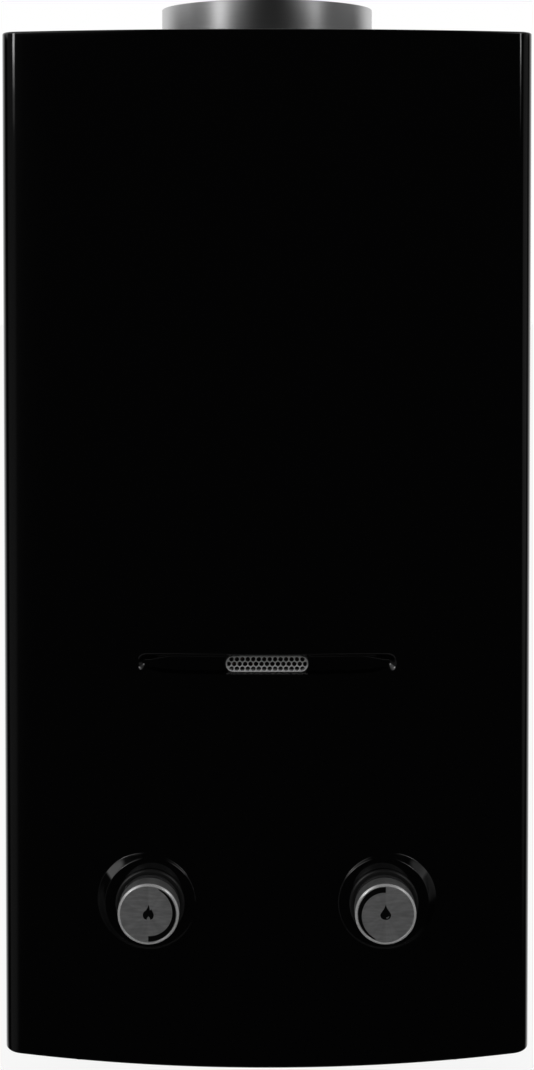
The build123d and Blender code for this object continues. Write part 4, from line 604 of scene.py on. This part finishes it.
def nipple(name, x, top):
    """Threaded connection with its hexagon under the plate and its neck up to top."""
    around, levels = 72, 110
    points, faces = [], []
    for j in range(levels + 1):
        z = nipple_end + (hexagon_foot - nipple_end) * j / levels
        for i in range(around):
            radius = thread_radius(z, i / around)
            angle = 2 * pi * i / around
            points.append((x + radius * cos(angle), valve_y + radius * sin(angle), z))
    for j in range(levels):
        for i in range(around):
            k = (i + 1) % around
            faces.append((j * around + i, j * around + k, (j + 1) * around + k, (j + 1) * around + i))
    inside = [(lead_in_radius, nipple_end), (bore_radius + bore_break, nipple_end)]
    inside += [(bore_radius, nipple_end + bore_break), (bore_radius, -case_height / 2), (on_axis, -case_height / 2)]
    bore, bore_faces = turned(inside, (x, valve_y, 0.0), "up", around)
    bore_faces = bore_faces[: (len(inside) - 1) * around]
    sleeve = [(on_axis, plate_under), (neck_radius, plate_under), (neck_radius, top), (on_axis, top)]
    neck = turned(sleeve, (x, valve_y, 0.0), "up", 48)
    angles = [radians(30 + 60 * i) for i in range(6)]
    corners = [(hexagon_flats / sqrt(3) * cos(angle), hexagon_flats / sqrt(3) * sin(angle)) for angle in angles]
    plate, plate_faces = outline_mesh([corners], plate_under - hexagon_foot, 0.5)
    plate = [(x + a, valve_y + b, (plate_under + hexagon_foot) / 2 + c) for a, b, c in plate]
    points, faces = joined((points, faces), (bore, bore_faces), neck, (plate, plate_faces))
    piece(name + "_thread", points, faces, brass, "casing", "brass", name)


for name, x in (("gas_inlet", -knob_x), ("cold_inlet", knob_x), ("hot_outlet", outlet_x)):
    nipple(name, x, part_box(name)[1][2] / mm)

# Electrical cases, battery box and door: injection-moulded black plastic with a fine spark-eroded grain, clipped
# and screwed in place. The rubber diaphragm in the water valve is as black and as matt.
plastic = Finish("black_plastic", {})
grain = plastic.noise(0.5, 2.0)
plastic.set("Base Color", plastic.mix(plastic.noise(20.0, 3.0), (0.022, 0.022, 0.023, 1), (0.036, 0.036, 0.037, 1)))
plastic.set("Roughness", 0.42 + 0.16 * grain)
plastic.bump(grain, 0.03, 0.5)
dress(plastic, "overheat_cutoff", "gas_solenoid", "microswitch", "ignition_module", "battery_box", "battery_door")
dress(plastic, "diaphragm")
eased(0.4, "battery_door", "battery_box", "gas_solenoid", "ignition_module", "microswitch")

# Drain plug: a moulded plug with a scalloped head and a finger wing under the casing, screwed up through the
# bottom plate into the water valve.
plug_x, head_radius, head_height, wing, wing_height, shank_radius = 97.5, 9.0, 4.0, 3.0, 10.0, 5.4
scallops, scallop_depth = 12, 0.7


def obround(length, width, count=24):
    """Loop of a slot with round ends, centred on the origin."""
    run, radius = (length - width) / 2, width / 2
    right = [(run + radius * sin(pi * i / count), -radius * cos(pi * i / count)) for i in range(count + 1)]
    return right + [(-x, -y) for x, y in right]


scallop = []
around = 12 * scallops
for i in range(around):
    angle = 2 * pi * i / around
    radius = head_radius - scallop_depth * (0.5 + 0.5 * cos(scallops * angle)) ** 2
    scallop.append((radius * cos(angle), radius * sin(angle)))
head, head_faces = outline_mesh([scallop], head_height, 0.5)
head = [(plug_x + x, valve_y + y, -case_height / 2 - head_height / 2 + z) for x, y, z in head]
blade, blade_faces = outline_mesh([obround(2 * head_radius - wing, wing_height)], wing, 0.7)
blade = [(plug_x + x, valve_y + z, -case_height / 2 - 3 * head_height + wing_height / 2 + y) for x, y, z in blade]
foot, top = -case_height / 2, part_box("drain_plug")[1][2] / mm
shank = [(on_axis, foot), (shank_radius, foot), (shank_radius, top), (on_axis, top)]
points, faces = joined((head, head_faces), (blade, blade_faces), turned(shank, (plug_x, valve_y, 0.0), "up", 32))
piece("drain_plug_wing", points, faces, plastic, "casing", "black_plastic", "drain_plug")

# Ignition and window pane: glazed ceramic electrode rods fixed in the chamber's side, with red silicone leads pushed
# on to the module's posts, and a heat-proof pane held behind the window by its clamp, tinted near black as painted
# shade.
ceramic = Finish("ceramic", {"Roughness": 0.2, "Coat Weight": 0.3})
ceramic.set("Base Color", ceramic.mix(ceramic.noise(3.0, 3.0), (0.88, 0.86, 0.8, 1), (0.8, 0.77, 0.7, 1)))
dress(ceramic, "electrode_insulators")
silicone = Finish("lead_silicone", {"Roughness": 0.55})
silicone.set("Base Color", silicone.mix(silicone.noise(6.0, 3.0), (0.55, 0.07, 0.05, 1), (0.4, 0.045, 0.035, 1)))
dress(silicone, "ignition_leads")
# Painted shade: the pane's near-black tint keeps the window's holes as dark as the unlit inside of the casing.
glass = Finish("window_glass", {"Base Color": (0.1, 0.09, 0.08, 1), "Transmission Weight": 1.0})
glass.set("Roughness", 0.02 + 0.05 * glass.noise(8.0, 3.0))
dress(glass, "window_pane")

# Cells: two in line behind the battery door, each a plated can in a printed blue jacket with a pale band,
# rolled in at both ends over a flat foot and a button.
jacket = Finish("cell_jacket", {"Coat Weight": 0.4})
cell_feet, cell_pitch, band_foot, band_top, band_edge = (-61.2, 0.2), 61.4, 42.0, 44.0, 0.2
from_foot = jacket.math("FLOORED_MODULO", jacket.axis("X", jacket.place) - cell_feet[0] * mm, cell_pitch * mm)
past_foot = jacket.ramp(from_foot, (band_foot - band_edge) * mm, band_foot * mm)
band = past_foot - jacket.ramp(from_foot, band_top * mm, (band_top + band_edge) * mm)
blue = jacket.mix(jacket.noise(30.0, 2.0), (0.07, 0.13, 0.33, 1), (0.11, 0.19, 0.42, 1))
jacket.set("Base Color", jacket.mix(band, blue, (0.7, 0.71, 0.72, 1)))
jacket.set("Roughness", 0.25 + 0.15 * jacket.noise(2.0, 2.0))
cells_low, cells_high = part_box("battery_cells")
cell_y, cell_z = (cells_low[1] + cells_high[1]) / 2 / mm, (cells_low[2] + cells_high[2]) / 2 / mm
sleeve = [(15.2, 0.5), (16.0, 0.5), (16.6, 1.2), (16.6, 58.6), (16.0, 59.3), (15.2, 59.3)]
can = [
    (on_axis, 0.2), (12.0, 0.2), (12.6, 0.0), (13.6, 0.0), (14.2, 0.7), (15.3, 0.7), (15.3, 59.1), (14.4, 59.1),
    (13.8, 58.6), (6.6, 58.6), (6.0, 59.5), (4.5, 59.5), (4.5, 60.6), (4.0, 61.0), (on_axis, 61.0),
]
points, faces = joined(*[turned(softened(sleeve, 0.3), (foot, cell_y, cell_z), "right", 72) for foot in cell_feet])
piece("cell_jackets", points, faces, jacket, "casing", "cell_jacket", "battery_cells")
points, faces = joined(*[turned(softened(can, 0.2), (foot, cell_y, cell_z), "right", 72) for foot in cell_feet])
piece("cell_cans", points, faces, zinc, "casing", "zinc")

# Flame window: a pan of perforated steel pushed through the channel from behind, three rows of round holes
# set close, with its rolled edge proud of the enamel.
grille_steel = Finish("mesh_steel", {"Metallic": 0.5})
height = grille_steel.axis("Z", grille_steel.place)
# Painted shade: the grille's colour darkens from its foot up to its top rows, with a little random soot mottle mixed
# in.
painted_top_shade = grille_steel.ramp(height, (window_z - 4.5) * mm, (window_z + 2.5) * mm)
soot_and_painted_shade = 0.3 * grille_steel.noise(6.0, 3.0) + 0.7 * painted_top_shade
grille_steel.set("Base Color", grille_steel.mix(soot_and_painted_shade, (0.9, 0.9, 0.9, 1), (0.2, 0.2, 0.2, 1)))
grille_steel.set("Roughness", 0.28 + 0.2 * soot_and_painted_shade)
grille_face, grille_foot, grille_sheet, hole_pitch, hole_radius, hole_break = -165.5, -161.4, 0.8, 3.15, 1.26, 0.28
loops = [obround(mesh_length, mesh_width)]
for row, count in ((-1, 14), (0, 15), (1, 14)):
    for i in range(count):
        loops.append(circle(hole_radius, 20, (i - (count - 1) / 2) * hole_pitch, row * hole_pitch * sqrt(3) / 2))
points, faces = outline_mesh(loops, grille_sheet, hole_break)
points = [(x, grille_face + grille_sheet / 2 - z, window_z + y) for x, y, z in points]
inside = obround(mesh_length - 2 * grille_sheet, mesh_width - 2 * grille_sheet)
skirt, skirt_faces = outline_mesh([loops[0], inside], grille_foot - grille_face - grille_sheet, 0.0)
skirt = [(x, (grille_face + grille_sheet + grille_foot) / 2 - z, window_z + y) for x, y, z in skirt]
points, faces = joined((points, faces), (skirt, skirt_faces))
piece("window_grille", points, faces, grille_steel, "casing", "mesh_steel", "window_mesh")

# Knob bezels: two rings of satin black plastic, one round each knob, injection-moulded with a neck that clips into
# the hole of the seat.
gloss = Finish("black_gloss", {"Base Color": (0.012, 0.012, 0.012, 1)})
gloss.set("Roughness", 0.3 + 0.1 * gloss.noise(4.0, 3.0))
gloss.bump(gloss.noise(1.5, 2.0), 0.01, 0.3)
ring = [(17.2, -3.5), (18.1, -3.5), (18.1, 0.0), (20.0, 0.0), (20.0, 1.1), (19.2, 2.0), (17.2, 2.0)]
rings = [turned(softened(ring, 0.4), (side * knob_x, seat_y, knob_z), "front", 96) for side in (-1, 1)]
points, faces = joined(*rings)
piece("bezel_rings", points, faces, gloss, "casing", "black_gloss", "knob_bezels")

# Knobs: spun aluminium caps pressed over black cores, each with a dished face inside a bright-cut rim, painted
# paler than the metal as a highlight, and a growing crescent and a flame or a drop printed in black on the face.
knob_radius, knob_reach, cap_length, cap_wall = 17.5, 16.4, 9.6, 1.2
rim_width, rim_cut, dish, dish_run = 1.3, 0.9, 0.4, 0.2


def spun_silver(name, x):
    """Aluminium spun about the knob axis at x: fine rings, a sunray of paler and darker sectors, and a rim painted pale
    as a highlight.
    """
    silver = Finish(name, {})
    arm = silver.node(
        "ShaderNodeVectorMath", {"operation": "SUBTRACT"}, {0: silver.place, 1: (x * mm, 0.0, knob_z * mm)}
    )
    across = silver.axis("X", arm)
    upward = silver.axis("Z", arm)
    turn = silver.math("ARCTAN2", across, upward)
    away = (across * across + upward * upward) ** 0.5
    ray = silver.node("ShaderNodeTexNoise", {"noise_dimensions": "1D"}, {"W": turn, "Scale": 2.2, "Detail": 3.0})
    line = silver.node("ShaderNodeTexNoise", {"noise_dimensions": "1D"}, {"W": away, "Scale": 9000.0, "Detail": 1.0})
    streak = silver.noise(1.5, 3.0, (5.0, 1.0, 1.0))
    tone = 0.45 * silver.ramp(ray, 0.3, 0.7) + 0.55 * silver.ramp(streak, 0.3, 0.7)
    front = silver.axis("Y", silver.place)
    cut = silver.ramp(front, (seat_y - knob_reach + rim_cut) * mm, (seat_y - knob_reach + rim_cut - 0.1) * mm)
    rim = cut * silver.ramp(away, (knob_radius - rim_width - dish_run) * mm, (knob_radius - rim_width) * mm)
    face = silver.mix(tone, (0.42, 0.42, 0.425, 1), (0.64, 0.64, 0.645, 1))
    # Painted highlight: the rim's colour is paler and less metallic than the face's, so it shines all round; its lower
    # roughness is the real polish of the bright cut.
    silver.set("Base Color", silver.mix(rim, face, (0.8, 0.8, 0.8, 1)))
    silver.set("Metallic", 0.78 - 0.3 * rim)
    silver.set("Roughness", 0.3 + 0.1 * line - 0.12 * rim)
    silver.bump(line, 0.008, 0.4)
    return silver


print_black = Finish("print_black", {"Base Color": (0.003, 0.003, 0.003, 1), "Specular IOR Level": 0.1})
print_black.set("Roughness", 0.35 + 0.15 * print_black.noise(1.0, 2.0))
sweep_angle, crescent_outer, crescent_tip, crescent_growth, crescent_steps = 158.0, 15.7, 0.25, 3.0, 48
print_depth, print_proud, sign_rise = 0.12, 0.03, 1.1


def crescent(start):
    """Loop of a crescent that grows clockwise from start degrees past the top."""
    outer, inner = [], []
    for i in range(crescent_steps + 1):
        share = i / crescent_steps
        angle = radians(start + sweep_angle * share)
        width = crescent_tip + crescent_growth * share**0.6
        outer.append((crescent_outer * sin(angle), crescent_outer * cos(angle)))
        inner.append(((crescent_outer - width) * sin(angle), (crescent_outer - width) * cos(angle)))
    return outer + inner[::-1]


def smooth_loop(corners, sharp=()):
    """Closed loop through the corners, rounded by a spline except at the sharp ones."""
    loop = []
    count = len(corners)
    for k in range(count):
        a, b, c, d = (Vector(corners[(k + j) % count]) for j in (-1, 0, 1, 2))
        out = (c - a) / 2 if k not in sharp else (c - b) * 0.6
        into = (d - b) / 2 if (k + 1) % count not in sharp else (c - b) * 0.6
        for i in range(6):
            t = i / 6
            loop.append(tuple(
                b * (2 * t**3 - 3 * t**2 + 1) + out * (t**3 - 2 * t**2 + t)
                + c * (3 * t**2 - 2 * t**3) + into * (t**3 - t**2)
            ))
    return loop


flame = [smooth_loop([
    (0.25, 4.5), (0.75, 2.7), (0.95, 1.2), (1.7, 1.8), (2.5, 0.3), (3.1, -1.5), (2.6, -3.3), (1.2, -4.2),
    (0.9, -3.1), (0.1, -2.2), (-0.7, -3.1), (-1.0, -4.2), (-2.5, -3.3), (-3.1, -1.5), (-2.6, 0.2), (-1.4, 1.2),
    (-0.5, 2.7),
], (0, 2, 3, 7, 9, 11))]
drop = [smooth_loop([
    (0.0, 4.5), (0.8, 2.4), (2.0, 0.6), (3.05, -1.4), (2.2, -3.5), (0.0, -4.2),
    (-2.2, -3.5), (-3.05, -1.4), (-2.0, 0.6), (-0.8, 2.4),
], (0,)), smooth_loop([(0.3, -2.9), (1.3, -2.6), (1.9, -1.9), (1.7, -3.0), (0.7, -3.5)])]
cap = [
    (on_axis, knob_reach - cap_wall), (knob_radius - cap_wall, knob_reach - cap_wall),
    (knob_radius - cap_wall, knob_reach - cap_length), (knob_radius, knob_reach - cap_length),
    (knob_radius, knob_reach - rim_cut), (knob_radius - rim_cut, knob_reach), (knob_radius - rim_width, knob_reach),
    (knob_radius - rim_width - dish_run, knob_reach - dish), (on_axis, knob_reach - dish),
]
grip = [(3.2, 1.0), (17.15, 1.0), (17.15, 1.8), (16.2, 1.8), (16.2, 15.1), (3.2, 15.1)]
for body, side, start, sign in (("gas_knob", -1, 22.0, flame), ("water_knob", 1, 202.0, drop)):
    x = side * knob_x
    points, faces = turned(softened(cap, 0.12), (x, seat_y, knob_z), "front", 128)
    piece(body + "_face", points, faces, spun_silver(body + "_silver", x), body, "knob_silver", body + "_cap")
    points, faces = turned(softened(grip, 0.4), (x, seat_y, knob_z), "front", 96)
    piece(body + "_grip", points, faces, plastic, body, "black_plastic", body + "_core")
    for mark, loops, rise in (("crescent", [crescent(start)], 0.0), ("sign", sign, sign_rise)):
        points, faces = outline_mesh(loops, print_depth, 0.0)
        points = [(x + a, seat_y - knob_reach + dish - print_proud - c, knob_z + rise + b) for a, b, c in points]
        piece(f"{body}_{mark}", points, faces, print_black, body, "black_gloss")

# Studio: a plain pale floor under and behind the heater, a white sweep behind, a dark room in front with a
# tall strip lamp on each side that fades towards its foot, and the camera straight in front, above the middle.
floor = bpy.data.meshes.new("studio_floor")
floor_half, floor_z = 6.0, -0.33
around = (-1, -1), (1, -1), (1, 1), (-1, 1)
floor_corners = [(floor_half * right, floor_half * back, floor_z) for right, back in around]
floor.from_pydata(floor_corners, [], [(0, 1, 2, 3)])
floor_object = bpy.data.objects.new("studio_floor", floor)
bpy.context.collection.objects.link(floor_object)
pale = Finish("studio_floor", {"Base Color": (0.85, 0.85, 0.85, 1), "Roughness": 0.9})
floor.materials.append(pale.material)
seen = pale.node("ShaderNodeLightPath", {}, {}, "Is Camera Ray")
white = pale.node("ShaderNodeEmission", {}, {"Color": (1, 1, 1, 1), "Strength": 1.0})
both = pale.node("ShaderNodeMixShader", {}, {0: seen * 0.9, 1: Wire(pale, pale.shader.outputs[0]), 2: white})
mirrored = pale.node("ShaderNodeLightPath", {}, {}, "Is Glossy Ray")
under = pale.node("ShaderNodeNewGeometry", {}, {}, "Backfacing")
clear = pale.node("ShaderNodeBsdfTransparent", {}, {})
pale.feed(
    pale.tree.nodes["Material Output"].inputs["Surface"],
    pale.node("ShaderNodeMixShader", {}, {0: pale.math("MAXIMUM", mirrored, under), 1: both, 2: clear}),
)


class Sky(Finish):
    """The world's nodes, worked as a finish's are."""

    def __init__(self, world):
        self.tree = world.node_tree
        self.shader = self.tree.nodes["Background"]
        self.place = self.node("ShaderNodeTexCoord", {}, {}, "Generated")


world = bpy.data.worlds.new("studio")
bpy.context.scene.world = world
world.use_nodes = True
sky = Sky(world)
across = sky.axis("X", sky.place)
behind = sky.axis("Y", sky.place)
upward = sky.axis("Z", sky.place)
left_wall = 0.07 * sky.ramp(behind, 0.15, -0.05) * sky.ramp(across, -0.5, -0.8)
right_wall = 0.12 * sky.ramp(behind, 0.3, 0.15) * sky.ramp(across, 0.9, 0.98)
ceiling = sky.ramp(behind, 0.0, -0.15) * sky.ramp(upward, 0.2, 0.4)
ceiling = ceiling * (0.6 * sky.ramp(across, -0.25, -0.6) + 0.25 * sky.ramp(across, 0.35, 0.7))
ground = 0.12 * sky.ramp(upward, -0.6, -0.8) * sky.ramp(behind, -0.2, -0.5)
sweep = sky.ramp(behind, 0.34, 0.8) * sky.ramp(upward, -0.75, -0.55)
flag = sky.ramp(behind, -0.1, 0.1) * sky.ramp(upward, 0.14, 0.22) * sky.ramp(upward, 0.7, 0.55)
flag = flag * (0.8 * sky.ramp(across, -0.6, -0.75) + 0.24 * sky.ramp(across, 0.6, 0.75))
level = 0.008 + left_wall + right_wall + ceiling + ground + sweep + flag
for side, radiance in ((-1, 14.0), (1, 6.0)):
    towards = {0: sky.place, 1: (side * 0.68, -0.55, 0.49)}
    near = sky.node("ShaderNodeVectorMath", {"operation": "DOT_PRODUCT"}, towards, "Value")
    level = level + radiance * sky.ramp(near, cos(radians(14)), cos(radians(8)))
mirrored = sky.mix(level, (0, 0, 0, 1), (1, 1, 1, 1))
camera_ray = sky.node("ShaderNodeLightPath", {}, {}, "Is Camera Ray")
glossy_ray = sky.node("ShaderNodeLightPath", {}, {}, "Is Glossy Ray")
through_ray = sky.node("ShaderNodeLightPath", {}, {}, "Is Transmission Ray")
plain = sky.mix(glossy_ray, (0.5, 0.5, 0.5, 1), mirrored)
sky.set("Color", sky.mix(sky.math("MAXIMUM", camera_ray, through_ray), plain, (1, 1, 1, 1)))

lamp_distance, lamp_centre = 1.445, -0.1


def strip_lamp(name, azimuth, width, foot, head, radiance):
    """Upright strip lamp beside the camera at that azimuth, from foot to head in metres above the middle."""
    lamp = bpy.data.lights.new(name, "AREA")
    lamp.shape = "RECTANGLE"
    lamp.size, lamp.size_y = width, head - foot
    lamp.energy = radiance * pi * width * (head - foot)
    made = bpy.data.objects.new(name, lamp)
    bpy.context.collection.objects.link(made)
    across, towards = lamp_distance * sin(radians(azimuth)), -lamp_distance * cos(radians(azimuth))
    made.location = (across, towards + lamp_centre, (foot + head) / 2)
    made.rotation_euler = (radians(90), 0.0, radians(azimuth))
    made.visible_camera = False


for side, azimuth, width, share in (("left", -52.0, 0.25, 0.75), ("right", 53.0, 0.12, 0.55)):
    strip_lamp(side + "_strip", azimuth, width, 0.385, 0.75, 6.5 * share)
    strip_lamp(side + "_strip_foot", azimuth, width, 0.35, 0.385, 1.8 * share)
    strip_lamp(side + "_strip_tail", azimuth, width, 0.3, 0.35, 0.35 * share)

camera = bpy.data.objects.new("camera", bpy.data.cameras.new("camera"))
bpy.context.collection.objects.link(camera)
camera.location = (0.0, -1.157, 0.205)
camera.rotation_euler = (radians(90 - 1.57), 0.0, 0.0)
camera.data.lens = 58.28
camera.data.shift_y = -0.2729
bpy.context.scene.camera = camera
bpy.context.scene.view_settings.view_transform = "Standard"
